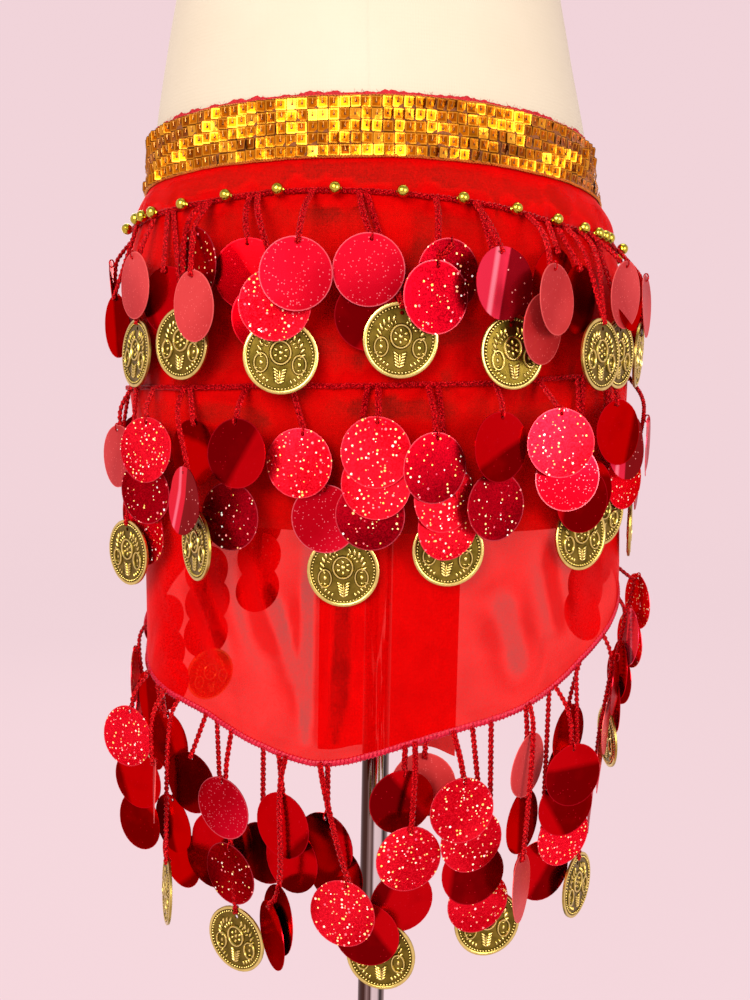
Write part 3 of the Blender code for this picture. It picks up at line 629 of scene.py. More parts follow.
def antiqued_brass():
    """Stamped steel blanks plated with brass and antiqued: bright on the relief, dark olive in the field."""
    material, tree, spot = new_material("antiqued_brass")
    relief = add(tree, "Attribute", attribute_name="tone")["Fac"]
    stain = add(tree, "TexNoise", {"Vector": spot["Object"], "Scale": 160.0, "Detail": 4.0})[0]
    stained = add(tree, "MapRange", stain, 0.0, 1.0, -0.25, 0.25)[0]
    blend = add(tree, "Math", relief, stained, operation="ADD")[0]
    colour = add(tree, "ValToRGB", blend, stops=(
        (0.0, "#241E06"), (0.30, "#5E521A"), (0.62, "#A08A38"), (1.0, "#EAD880")))[0]
    rough = add(tree, "MapRange", blend, 0.0, 1.0, 0.42, 0.24)[0]
    fine = add(tree, "TexNoise", {"Vector": spot["Object"], "Scale": 1400.0, "Detail": 3.0})[0]
    return finish(material, {"Base Color": colour, "Metallic": 1.0, "Roughness": rough}, fine, 0.00006, 0.6)


def studio_paper():
    """Seamless paper, matt: its own faint glow stands for the light that a white studio sends back."""
    material, tree, spot = new_material("studio_paper")
    material.cycles.emission_sampling = "NONE"
    tooth = add(tree, "TexNoise", {"Vector": spot["Object"], "Scale": 900.0, "Detail": 2.0})[0]
    return finish(material, {
        "Base Color": "#4A4042", "Roughness": 1.0, "Specular IOR Level": 0.0,
        "Emission Color": (*settings("stage").paper, 1), "Emission Strength": 0.93}, tooth, 0.0001, 0.2)


def curve(rows, at, column):
    """A table's column at keys between its rows, on a smooth curve, for a number or an array."""
    keys = np.array([row[0] for row in rows], float)
    values = np.array([row[column] for row in rows], float)
    index = np.arange(len(keys))
    before, after = np.maximum(index - 1, 0), np.minimum(index + 1, len(keys) - 1)
    slopes = (values[after] - values[before]) / (keys[after] - keys[before])
    at = np.clip(np.asarray(at, float), keys[0], keys[-1])
    low = np.clip(np.searchsorted(keys, at, "right") - 1, 0, len(keys) - 2)
    width = keys[low + 1] - keys[low]
    t = (at - keys[low]) / width
    return ((2 * t**3 - 3 * t**2 + 1) * values[low] + (t**3 - 2 * t**2 + t) * width * slopes[low]
            + (3 * t**2 - 2 * t**3) * values[low + 1] + (t**3 - t**2) * width * slopes[low + 1])


def girth_table():
    angles = np.linspace(-math.pi, math.pi, 1441)
    middle = (angles[1:] + angles[:-1]) / 2
    steps = np.hypot(HIP_HALF_WIDTH * np.cos(middle), HIP_HALF_DEPTH * np.sin(middle)) * np.diff(angles)
    arcs = np.concatenate([[0], np.cumsum(steps)]) / MM
    return angles, arcs - arcs[-1] / 2


ANGLES, ARCS = girth_table()
GIRTH = 2 * ARCS[-1]


def unit(vectors):
    return vectors / np.maximum(np.linalg.norm(vectors, axis=-1, keepdims=True), 1e-12)


def turn(first, second, angle):
    """Two directions at right angles, turned from the first towards the second."""
    cos, sin = math.cos(angle), math.sin(angle)
    return first * cos + second * sin, second * cos - first * sin


def beside(line):
    """Directions outwards from the hips and across, for a line that goes round them."""
    out = unit(line * OUTWARDS)
    return out, unit(np.cross(unit(np.gradient(line, axis=0)), out))


def set_in(local, centre, *axes):
    """Points from their own coordinates, by a centre and three directions."""
    return centre + local @ np.stack(axes)


def folds(arc, height):
    """How far the cloth's large folds push it out."""
    t = np.clip((FOLD_START - height) / (FOLD_START - FOLD_FULL), 0, 1)
    depths = sum(depth * MM * np.exp(-(((arc - at) / width) ** 2)) for at, depth, width in FOLDS)
    return t * t * (3 - 2 * t) * depths


def place(arc, height, out=0.0):
    """Points out from the cloth's outer face, with the directions outwards and along the arc there."""
    arc, height, out = np.broadcast_arrays(*(np.asarray(v, float) for v in (arc, height, out)))
    angle = np.interp((arc + GIRTH / 2) % GIRTH - GIRTH / 2, ARCS, ANGLES)
    half_width, half_depth = curve(CLOTH_SECTIONS, height, 1), curve(CLOTH_SECTIONS, height, 2)
    flat = np.zeros_like(angle)
    outward = unit(np.stack([np.sin(angle) / half_width, -np.cos(angle) / half_depth, flat], -1))
    along = np.stack([-outward[..., 1], outward[..., 0], flat], -1)
    points = np.stack([half_width * np.sin(angle) + curve(LEAN, height, 1), -half_depth * np.cos(angle),
                       height], -1)
    return points + outward * (out + folds(arc, height))[..., None], outward, along


def hem_height(arc):
    across = np.minimum(np.abs(arc - SCARF_CENTRE) / OVAL_REACH, 1)
    point = np.exp(-(((arc - SCARF_CENTRE) / POINT_WIDTH) ** 2))
    return OVAL_LINE - OVAL_DEPTH * np.sqrt(1 - across**2) - POINT_DEPTH * point


def waves(x, seed):
    """A soft irregular line between about -1 and 1."""
    source = np.random.default_rng(seed)
    total = 0
    for k in range(5):
        total = total + np.sin(x * (0.6 + 1.1 * k) + source.uniform(0, math.tau)) / (1 + k)
    return total / 1.6


def relief(arc, height):
    """Small forms of the cloth: it bags between its seams, puckers at the strings, and is creased."""
    band, top, middle = (curve(LEVELS, arc, column) for column in (1, 2, 3))
    bottom = band - BAND_HEIGHT
    below_band = np.clip((bottom - height) / np.maximum(bottom - top, 0.004), 0, 1)
    bag = 2.2 * MM * np.sin(math.pi * below_band) * (0.6 + 0.4 * waves(arc / 17, 3))
    between = np.clip((top - height) / (top - middle), 0, 1)
    bag += 1.7 * MM * np.sin(math.pi * between) ** 2 * waves(arc / 24 + 1.5 * between, 5)
    pucker = 0
    for line, seed in ((top, 11), (middle, 13)):
        near = np.exp(-(((height - line) / 0.0085) ** 2))
        pucker = pucker + near * MM * (1.1 * waves(arc / 7.5, seed) - 0.6)
    crease = 0
    for arc_a, height_a, arc_b, height_b, width, depth in CREASES:
        along_x, along_z = arc_b - arc_a, (height_b - height_a) / MM
        length = math.hypot(along_x, along_z)
        dx, dz = arc - arc_a, (height - height_a) / MM
        t = (dx * along_x + dz * along_z) / length**2
        off = (dx * along_z - dz * along_x) / length + 2.0 * np.sin(t * 4 + arc_a)
        ends = np.clip(t * 4, 0, 1) * np.clip((1 - t) * 4, 0, 1)
        crease = crease + depth * MM * np.exp(-((off / width) ** 2)) * ends
    return bag + pucker + crease


class Build:
    """Gathers many like pieces, with a tone for each point, for one joined mesh."""

    def __init__(self):
        self.points, self.faces, self.uvs, self.tones, self.slots = [], [], [], [], []
        self.count = 0

    def add(self, points, faces, uv=None, tone=0.5, slot=0):
        points = np.asarray(points, float).reshape(-1, 3)
        for part in faces if isinstance(faces, list) else [faces]:
            self.faces.append(np.asarray(part) + self.count)
            self.slots.append(np.full(len(part), slot))
        self.points.append(points)
        self.uvs.append(np.zeros((len(points), 2)) if uv is None else np.asarray(uv, float).reshape(-1, 2))
        self.tones.append(np.broadcast_to(np.asarray(tone, float), (len(points),)))
        self.count += len(points)

    def finish(self, name, materials, slot, smooth=True):
        """The joined mesh as a piece that rides on the frame."""
        points, loops = np.concatenate(self.points), np.concatenate([f.ravel() for f in self.faces])
        sizes = np.concatenate([np.full(len(f), f.shape[1]) for f in self.faces])
        mesh = bpy.data.meshes.new(name)
        mesh.vertices.add(len(points))
        mesh.vertices.foreach_set("co", points.astype(np.float32).ravel())
        mesh.loops.add(len(loops))
        mesh.loops.foreach_set("vertex_index", loops.astype(np.int32))
        mesh.polygons.add(len(sizes))
        mesh.polygons.foreach_set("loop_start", np.concatenate([[0], np.cumsum(sizes)[:-1]]).astype(np.int32))
        mesh.polygons.foreach_set("material_index", np.concatenate(self.slots).astype(np.int32))
        mesh.polygons.foreach_set("use_smooth", np.full(len(sizes), smooth))
        uv = mesh.uv_layers.new(name="UVMap")
        uv.data.foreach_set("uv", np.concatenate(self.uvs)[loops].astype(np.float32).ravel())
        tone = mesh.attributes.new("tone", "FLOAT", "POINT")
        tone.data.foreach_set("value", np.concatenate(self.tones).astype(np.float32))
        mesh.update(calc_edges=True)
        if smooth:
            mesh.set_sharp_from_angle(angle=math.radians(50))
        for material in materials:
            mesh.materials.append(material)
        obj = bpy.data.objects.new(name, mesh)
        bpy.context.scene.collection.objects.link(obj)
        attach(obj, "root")
        return obj


def grid(rows, columns, wrap=False):
    """Faces of a grid of points, row after row."""
    i, j = np.meshgrid(np.arange(rows - 1), np.arange(columns if wrap else columns - 1), indexing="ij")
    i, j = i.ravel(), j.ravel()
    k = (j + 1) % columns
    return np.stack([i * columns + j, i * columns + k, (i + 1) * columns + k, (i + 1) * columns + j], 1)


def shell(build, outer, inner, uv=None, tone=0.5):
    """A closed thin sheet between two grids of points."""
    rows, columns = outer.shape[:2]
    size = rows * columns
    front = grid(rows, columns)
    rim = [(0, j) for j in range(columns - 1)] + [(i, columns - 1) for i in range(rows - 1)]
    rim += [(rows - 1, j) for j in range(columns - 1, 0, -1)] + [(i, 0) for i in range(rows - 1, 0, -1)]
    ids = np.array([i * columns + j for i, j in rim])
    after = np.roll(ids, -1)
    edge = np.stack([ids, ids + size, after + size, after], 1)
    points = np.concatenate([outer.reshape(-1, 3), inner.reshape(-1, 3)])
    uvs = None if uv is None else np.concatenate([uv.reshape(-1, 2)] * 2)
    build.add(points, [front[:, ::-1], front + size, edge], uvs, tone)


def turned(profile, sides):
    """Points and faces of a solid of revolution from (radius, height) rows."""
    angle = np.linspace(0, math.tau, sides, endpoint=False)
    rows = np.array(profile, float)
    points = np.stack([rows[:, :1] * np.cos(angle), rows[:, :1] * np.sin(angle),
                       np.repeat(rows[:, 1:], sides, 1)], -1)
    return points, [grid(len(rows), sides, True), np.arange(sides)[None, ::-1],
                    (np.arange(sides) + (len(rows) - 1) * sides)[None]]


def spaced(path, step):
    """A path's points again, evenly spaced."""
    lengths = np.concatenate([[0], np.cumsum(np.linalg.norm(np.diff(path, axis=0), axis=1))])
    count = max(int(lengths[-1] / step), 3)
    at = np.linspace(0, lengths[-1], count + 1)
    return np.stack([np.interp(at, lengths, path[:, i]) for i in range(3)], 1), at


def rounded(path):
    """Cuts a path's corners three times over and keeps its ends."""
    for _ in range(3):
        inner = np.empty((2 * len(path) - 2, 3))
        inner[0::2] = 0.75 * path[:-1] + 0.25 * path[1:]
        inner[1::2] = 0.25 * path[:-1] + 0.75 * path[1:]
        path = np.concatenate([path[:1], inner, path[-1:]])
    return path


def tube(build, line, side, radius, sides=4):
    """A round tube along a line. side is a direction across it."""
    tangent = unit(np.gradient(line, axis=0))
    u = unit(side - (side * tangent).sum(-1, keepdims=True) * tangent)
    v = np.cross(tangent, u)
    angle = np.linspace(0, math.tau, sides, endpoint=False)
    radius = np.broadcast_to(np.asarray(radius, float), (len(line),))
    cos, sin = np.cos(angle)[None, :, None], np.sin(angle)[None, :, None]
    points = line[:, None] + (u[:, None] * cos + v[:, None] * sin) * radius[:, None, None]
    caps = [np.arange(sides)[None, ::-1], (np.arange(sides) + (len(line) - 1) * sides)[None]]
    build.add(points, [grid(len(line), sides, True), *caps])


def plait(build, path, outward, width, period):
    """Three yarn strands crossing over each other along a path, as in a crochet chain."""
    line, at = spaced(path, period / 9)
    tangent = unit(np.gradient(line, axis=0))
    out = unit(outward - (outward * tangent).sum(-1, keepdims=True) * tangent)
    side = np.cross(tangent, out)
    thick = width * 0.215
    for strand in range(3):
        phase = at / period * math.tau + strand * math.tau / 3
        centre = (line + side * ((width / 2 - thick) * np.sin(phase))[:, None]
                  + out * (width * 0.17 * np.sin(2 * phase))[:, None])
        tube(build, centre, out, thick)


def back_chains(front, reach, patterns, back_place):
    """Chains from the last ones of the front round to where the row ends on each side."""
    rear_out, layer, drop = back_place
    rows = []
    for side, edge in zip((-1, 1), reach):
        last = side * max(side * row[1] for row in front)
        for k in range(1, int(abs(edge - last) / BACK_PITCH) + 1):
            discs = patterns[(k + (side > 0)) % len(patterns)]
            lean = BACK_TURN * math.sin(2.4 * k + side)
            arc = last + side * BACK_PITCH * k
            rows.append((arc, arc, drop + 4 * math.sin(1.7 * k), BACK_STEP, BACK_DRIFT, lean,
                         rear_out + layer * (len(discs) - 1), -layer, discs))
    return tuple(rows)


class Tier:
    """One row of the fringe: its line on the cloth, its chains, and how its discs hang."""

    def __init__(self, name, node, line, chains, inner, hang):
        self.name, self.node, self.line = name, node, line
        self.chains, self.inner, self.hang = chains, inner, hang


TIERS = (
    Tier("top", "fringe_top", lambda arc: curve(LEVELS, arc, 2) - LINE_DROP,
         TOP_CHAINS + back_chains(TOP_CHAINS, TOP_REACH, BACK_TOP, BACK_TOP_PLACE), 1.4,
         lambda arc, height: height),
    Tier("middle", "fringe_middle", lambda arc: curve(LEVELS, arc, 3) - LINE_DROP,
         MIDDLE_CHAINS + back_chains(MIDDLE_CHAINS, MIDDLE_REACH, BACK_MIDDLE, BACK_MIDDLE_PLACE), 1.4,
         lambda arc, height: max(height, MIDDLE_HANG)),
    Tier("hem", "fringe_hem", lambda arc: hem_height(arc) - 1.5 * MM,
         HEM_CHAINS + back_chains(HEM_CHAINS, HEM_REACH, BACK_HEM, BACK_HEM_PLACE), -0.2,
         lambda arc, height: float(hem_height(arc))),
)


def disc_places(tier):
    """For each chain, its root, its arc and its discs from the first to the last."""
    source = np.random.default_rng(SEED + len(tier.name))
    trim = settings("trim")
    found = []
    for root, arc, drop, step, drift, lean, out, layer, discs in tier.chains:
        row = []
        for k, letter in enumerate(discs):
            extra = BACK_COIN_STEP - BACK_STEP if letter == "C" and step == BACK_STEP else 0
            at, away = arc + k * drift, out + k * layer
            height = float(tier.line(at)) + LINE_DROP - (drop + k * step + extra) * MM
            middle, outward, along = place(at, tier.hang(at, height), away * MM)
            radius = (trim.coin if letter == "C" else trim.paillette) / 2
            hole = np.array([middle[0], middle[1], height + radius - HOLE_DOWN])
            facing, side = turn(outward, along, math.radians(lean + source.uniform(-3, 3)))
            facing, up = turn(facing, UP, math.radians(source.uniform(-3.5, 3.5)))
            side, up = turn(side, up, math.radians(source.uniform(-7, 7)))
            row.append({"centre": hole - up * (radius - HOLE_DOWN), "side": side, "up": up, "facing": facing,
                        "letter": letter, "hole": hole, "outward": outward, "layer": layer, "away": away,
                        "random": source.uniform(0, 1, 4)})
        found.append((root, arc, row))
    return found


def disc_shape(radius, hole_down, hole_radius, thickness, segments=32):
    """A punched disc in its own plane: x across, y up, z out."""
    angle = np.linspace(0, math.tau, segments, endpoint=False)
    circle = np.stack([np.sin(angle), np.cos(angle)], 1)
    rings = []
    for t in (0, 0.1, 0.36, 0.68, 1):
        middle = np.array([0, (radius - hole_down) * (1 - t)])
        rings.append(circle * (hole_radius + (radius - hole_radius) * t) + middle)
    flat = np.concatenate(rings)
    size = len(flat)
    front = grid(len(rings), segments, True)
    points = np.concatenate([np.column_stack([flat, np.full(size, thickness / 2)]),
                             np.column_stack([flat, np.full(size, -thickness / 2)])])
    ids = np.arange(segments)
    after = np.roll(ids, -1)
    inner_rim = np.stack([ids, after, after + size, ids + size], 1)
    last = size - segments
    outer_rim = np.stack([ids + last, ids + last + size, after + last + size, after + last], 1)
    uv = np.concatenate([flat, flat]) / (2 * radius) + 0.5
    return points, [front[:, ::-1], front + size, inner_rim, outer_rim], uv


def dome(centre, half, height, slant=0.0, sides=6):
    """A low oval boss on a coin's face, with its half axes and height in mm: points, faces and tones."""
    angle = np.linspace(0, math.tau, sides, endpoint=False)
    x, y = half[0] * MM * np.cos(angle), half[1] * MM * np.sin(angle)
    cos, sin = math.cos(slant), math.sin(slant)
    ring = np.column_stack([centre[0] + x * cos - y * sin, centre[1] + x * sin + y * cos])
    inner = ring * 0.45 + np.array(centre) * 0.55
    flat = np.concatenate([ring, inner, [centre]])
    levels = np.repeat([0, 0.85, 1], [sides, sides, 1]) * height * MM
    ids, after = np.arange(sides), np.roll(np.arange(sides), -1)
    tops = np.stack([ids + sides, after + sides, np.full(sides, 2 * sides)], 1)
    return (np.column_stack([flat, levels]), [np.stack([ids, after, after + sides, ids + sides], 1), tops],
            np.repeat([0.1, 1.0], [sides, sides + 1]))


def raised_ring(centre, half, width, height, segments=20):
    """A raised oval line on a coin's face, with its width and height in mm: points, faces and tones."""
    angle = np.linspace(0, math.tau, segments, endpoint=False)
    rows = []
    for across, level in ((-1, 0), (-0.3, 1), (0.3, 1), (1, 0)):
        x, y = (size + across * width * MM / 2 for size in half)
        rows.append(np.column_stack([centre[0] + x * np.cos(angle), centre[1] + y * np.sin(angle),
                                     np.full(segments, level * height * MM)]))
    return np.concatenate(rows), [grid(4, segments, True)[:, ::-1]], np.repeat([0.1, 1.0, 1.0, 0.1], segments)


def clockwise(reach, angle, up=0.0):
    """A place on a coin's face, at an angle from its top."""
    return reach * math.sin(angle), reach * math.cos(angle) + up


def coin_art(radius, beads):
    """A ring of beads, a rosette and two ovals in raised rings, and leaf sprays between them."""
    heart = (0, 0.10 * radius)
    art = [dome(clockwise(0.862 * radius, math.tau * k / beads), (0.9, 0.9), 0.9) for k in range(beads)]
    art += [raised_ring(heart, (0.27 * radius, 0.30 * radius), 2.1, 1.1, 24),
            dome(heart, (1.5, 1.5), 0.7, sides=8), dome((0, -0.52 * radius), (0.6, 4.2), 0.5)]
    for k in range(6):
        a = math.tau * k / 6
        art.append(dome(clockwise(3.2 * MM, a, heart[1]), (1.1, 1.6), 0.9, -a))
    for side in (-1, 1):
        oval = (side * 0.51 * radius, -0.19 * radius)
        art += [raised_ring(oval, (0.18 * radius, 0.25 * radius), 1.8, 1.1), dome(oval, (1.2, 1.7), 0.6)]
        art += [dome((oval[0], oval[1] + up * MM), (1.2, 0.6), 0.5) for up in (-3.2, 3.2)]
        for k in range(6):
            a = side * math.radians(20 + 13 * k)
            leaf = clockwise((0.64 - 0.02 * abs(k - 2)) * radius, a)
            art.append(dome(leaf, (1.1, 2.8), 1.0, side * math.radians(35) - a))
            if k < 4:
                art.append(dome(clockwise(0.46 * radius, a, 0.6 * MM), (0.8, 1.6), 0.8, -a))
        for k in range(5):
            twig = (side * (2.2 - 0.25 * k) * MM, (-0.36 - 0.08 * k) * radius)
            art.append(dome(twig, (2.6, 1.0), 1.0, side * 0.6))
            a = side * math.radians(118 + 9 * k)
            art.append(dome(clockwise(0.73 * radius, a), (0.9, 1.7), 0.8, -a))
    return art


def coin_shape(radius, thickness, beads):
    """A struck coin, the same on both sides: a blank with a rolled rim and a hole, and its art."""
    angle = np.linspace(0, math.tau, COIN_SIDES, endpoint=False)
    circle = np.stack([np.sin(angle), np.cos(angle)], 1)
    hole_middle, hole_radius, field = 0.715 * radius, 1.2 * MM, 0.82 * radius
    rows = [(hole_radius + (field - hole_radius) * t, hole_middle * (1 - t), 0.0, 0.38)
            for t in (0, 0.12, 0.5, 1)]
    rows += [(radius * share, 0.0, height, tone) for share, height, tone in COIN_RIM]
    flat = np.concatenate([circle * reach + np.array([0, up]) for reach, up, _, _ in rows])
    level = thickness / 2 + np.repeat([row[2] for row in rows], COIN_SIDES) * MM
    tone = np.repeat([row[3] for row in rows], COIN_SIDES)
    faces = grid(len(rows), COIN_SIDES, True)
    ids, after = np.arange(COIN_SIDES), np.roll(np.arange(COIN_SIDES), -1)
    wall = np.stack([ids, ids + COIN_SIDES, after + COIN_SIDES, after], 1)
    pieces = []
    for sign in (1, -1):
        pieces.append((np.column_stack([flat, sign * level]), [faces[:, ::-sign]], tone))
        for points, lists, tones in coin_art(radius, beads):
            moved = points * np.array([sign, 1, 1])
            moved[:, 2] = sign * (thickness / 2 + moved[:, 2] - 0.02 * MM)
            pieces.append((moved, lists, tones))
    for ring, half, around, shade in ((flat[-COIN_SIDES:], level[-1], wall, 0.7),
                                      (flat[:COIN_SIDES], level[0], wall[:, ::-1], 0.2)):
        level = np.repeat([half, -half], COIN_SIDES)
        pieces.append((np.column_stack([np.tile(ring, (2, 1)), level]), [around], np.full(len(level), shade)))
    joined, count = {3: [], 4: []}, 0
    for points, lists, _ in pieces:
        for part in lists:
            joined[part.shape[1]].append(part + count)
        count += len(points)
    points, _, tones = zip(*pieces)
    faces = [np.concatenate(joined[4]), np.concatenate(joined[3])]
    return np.concatenate(points), faces, np.concatenate(tones)


class DANCESCARF_OT_stage(bpy.types.Operator):
    """Seamless paper, soft lights and the camera"""

    bl_idname = "dance_scarf.stage"
    bl_label = "Stage"

    def execute(self, context):
        stage = settings("stage")
        points, faces = turned(PAPER_PROFILE, PAPER_SIDES)
        mesh = bpy.data.meshes.new("paper_floor")
        mesh.from_pydata(points.reshape(-1, 3).tolist(), [], [*faces[0].tolist(), list(range(PAPER_SIDES))])
        mesh.shade_smooth()
        mesh.materials.append(studio_paper())
        floor = bpy.data.objects.new("paper_floor", mesh)
        context.scene.collection.objects.link(floor)
        world = bpy.data.worlds.new("studio_air")
        world.use_nodes = True
        world.node_tree.nodes["Background"].inputs["Color"].default_value = linear("#F4F0EC")
        world.node_tree.nodes["Background"].inputs["Strength"].default_value = 0.5
        context.scene.world = world
        context.scene.view_settings.view_transform = "Standard"
        for name, spot, size, power in (
            ("key_light", (-0.80, -1.80, 1.60), 1.1, stage.key),
            ("fill_light", (1.30, -1.60, 1.10), 0.9, stage.fill),
            ("top_light", (0.25, 0.35, 2.6), 1.0, stage.fill * 0.5),
            ("back_light", (-0.5, 1.9, 1.5), 1.2, stage.fill * 0.8),
        ):
            data = bpy.data.lights.new(name, "AREA")
            data.shape, data.size, data.energy = "SQUARE", size, power
            data.color = linear("#FFF6EE")[:3]
            light = bpy.data.objects.new(name, data)
            light.location = spot
            light.rotation_mode = "QUATERNION"
            light.rotation_quaternion = (Vector((0, 0, 0.8)) - Vector(spot)).to_track_quat("-Z", "Y")
            context.scene.collection.objects.link(light)
        data = bpy.data.cameras.new("camera")
        data.sensor_width, data.sensor_fit, data.lens = 36, "AUTO", CAMERA_LENS
        camera = bpy.data.objects.new("camera", data)
        context.scene.collection.objects.link(camera)
        camera.matrix_world = (Matrix.Translation(CAMERA_PLACE)
                               @ Matrix.Rotation(math.pi / 2 - CAMERA_PITCH, 4, "X")
                               @ Matrix.Rotation(math.radians(CAMERA_ROLL), 4, "Z"))
        context.scene.camera = camera
        return {"FINISHED"}


def fillet(radius, across, height, rise, angles):
    """A rounded corner of the base's profile. across and rise are the signs of its directions."""
    return [(radius + across * FILLET * (1 - math.cos(a)), height + rise * FILLET * (1 - math.sin(a)))
            for a in angles]


class DANCESCARF_OT_stand(bpy.types.Operator):
    """Round base and pole"""

    bl_idname = "dance_scarf.stand"
    bl_label = "Stand"

    def execute(self, context):
        seated = 0.3 * MM
        up = np.linspace(0, math.pi / 2, 6)
        edge = fillet(BASE_RADIUS, -1, BASE_HEIGHT, -1, np.linspace(0, math.pi / 2, 7))
        plate = [(0.176, 0), (BASE_RADIUS, FILLET), *edge,
                 (0.10, BASE_HEIGHT), (0.04, BASE_HEIGHT), *fillet(BOSS_RADIUS, 1, BASE_HEIGHT, 1, up[::-1]),
                 *fillet(BOSS_RADIUS, -1, BOSS_HEIGHT, -1, up), (POLE_RADIUS + 0.8 * MM, BOSS_HEIGHT)]
        tube_wall = [(POLE_RADIUS, z) for z in np.linspace(BOSS_HEIGHT + seated, FORM_BOTTOM - seated, 24)]
        for node, profile, sides, steel in (("base_plate", plate, 96, chromed_steel("chromed_base", False)),
                                            ("pole", tube_wall, 48, chromed_steel("chromed_tube", True))):
            build = Build()
            build.add(*turned(profile, sides))
            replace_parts(build.finish(node + "_finished", [steel], "stand_metal"), node)
        return {"FINISHED"}


class DANCESCARF_OT_form(bpy.types.Operator):
    """Cloth-covered dress form"""

    bl_idname = "dance_scarf.form"
    bl_label = "Dress form"

    def execute(self, context):
        heights = np.concatenate([np.linspace(0.730, 0.742, 6), np.linspace(0.746, 1.40, 90),
                                  np.linspace(1.405, 1.493, 26), np.linspace(1.494, 1.5, 5)])
        columns = 145
        angle = np.linspace(-math.pi, math.pi, columns)
        half_width, half_depth, shift = (curve(FORM_SECTIONS, heights, c)[:, None] for c in (1, 2, 3))
        levels = np.repeat(heights[:, None], columns, 1)
        points = np.stack([half_width * np.sin(angle) + curve(LEAN, heights, 1)[:, None],
                           shift - half_depth * np.cos(angle), levels], -1)
        uv = np.stack([half_width * angle, levels], -1)
        build = Build()
        build.add(points, [grid(len(heights), columns)], uv)
        count = columns - 1
        ids, after = np.arange(count), np.roll(np.arange(count), -1)
        fan = np.stack([ids + count, after + count, np.full(count, 2 * count)], 1)
        band = np.stack([ids, after, after + count, ids + count], 1)
        for row, order in ((0, -1), (-1, 1)):
            ring = points[row, :-1]
            middle = ring.mean(0)
            cap = np.concatenate([ring, (ring + middle) / 2, [middle]])
            build.add(cap, [band[:, ::order], fan[:, ::order]], cap[:, :2])
        form = build.finish("form_jersey", [cotton_jersey()], "form_cloth")
        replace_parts(form, "form_body")
        return {"FINISHED"}


class DANCESCARF_OT_cloth(bpy.types.Operator):
    """Half-oval of sheer chiffon, wrapped round the hips"""

    bl_idname = "dance_scarf.cloth"
    bl_label = "Scarf cloth"

    def execute(self, context):
        columns, rows = 345, 108
        arcs = np.linspace(SCARF_CENTRE - SCARF_REACH, SCARF_CENTRE + SCARF_REACH, columns)
        top = curve(LEVELS, arcs, 1) + 2.0 * MM
        hem = hem_height(arcs) - 0.6 * MM
        share = np.linspace(0, 1, rows)[:, None]
        heights = top + (hem - top) * share
        arc = np.repeat(arcs[None], rows, 0)
        form = relief(arc, heights)
        # How far the cloth dips below its neighbours: on the chiffon it is painted as shade in the creases,
        # and there less light passes.
        around = sum(np.roll(np.roll(form, i, 0), j, 1) for i in (-3, 0, 3) for j in (-4, 0, 4)) / 9
        crease_shade_and_bunching = np.clip(0.5 + (around - form) / (0.7 * MM), 0.1, 1.1)
        crease_shade_and_bunching[:3], crease_shade_and_bunching[-3:] = 0.5, 0.6
        cloth = settings("cloth")
        outer = place(arc, heights, form - 0.1 * MM)[0]
        inner = place(arc, heights, form - 0.1 * MM - cloth.thickness)[0]
        build = Build()
        shell(build, outer, inner, np.stack([arc * MM, heights], -1), np.concatenate([crease_shade_and_bunching.ravel()] * 2))
        scarf = build.finish("scarf_chiffon", [sheer_chiffon("sheer_chiffon", cloth.openness)], "chiffon")
        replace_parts(scarf, "scarf_body")
        return {"FINISHED"}


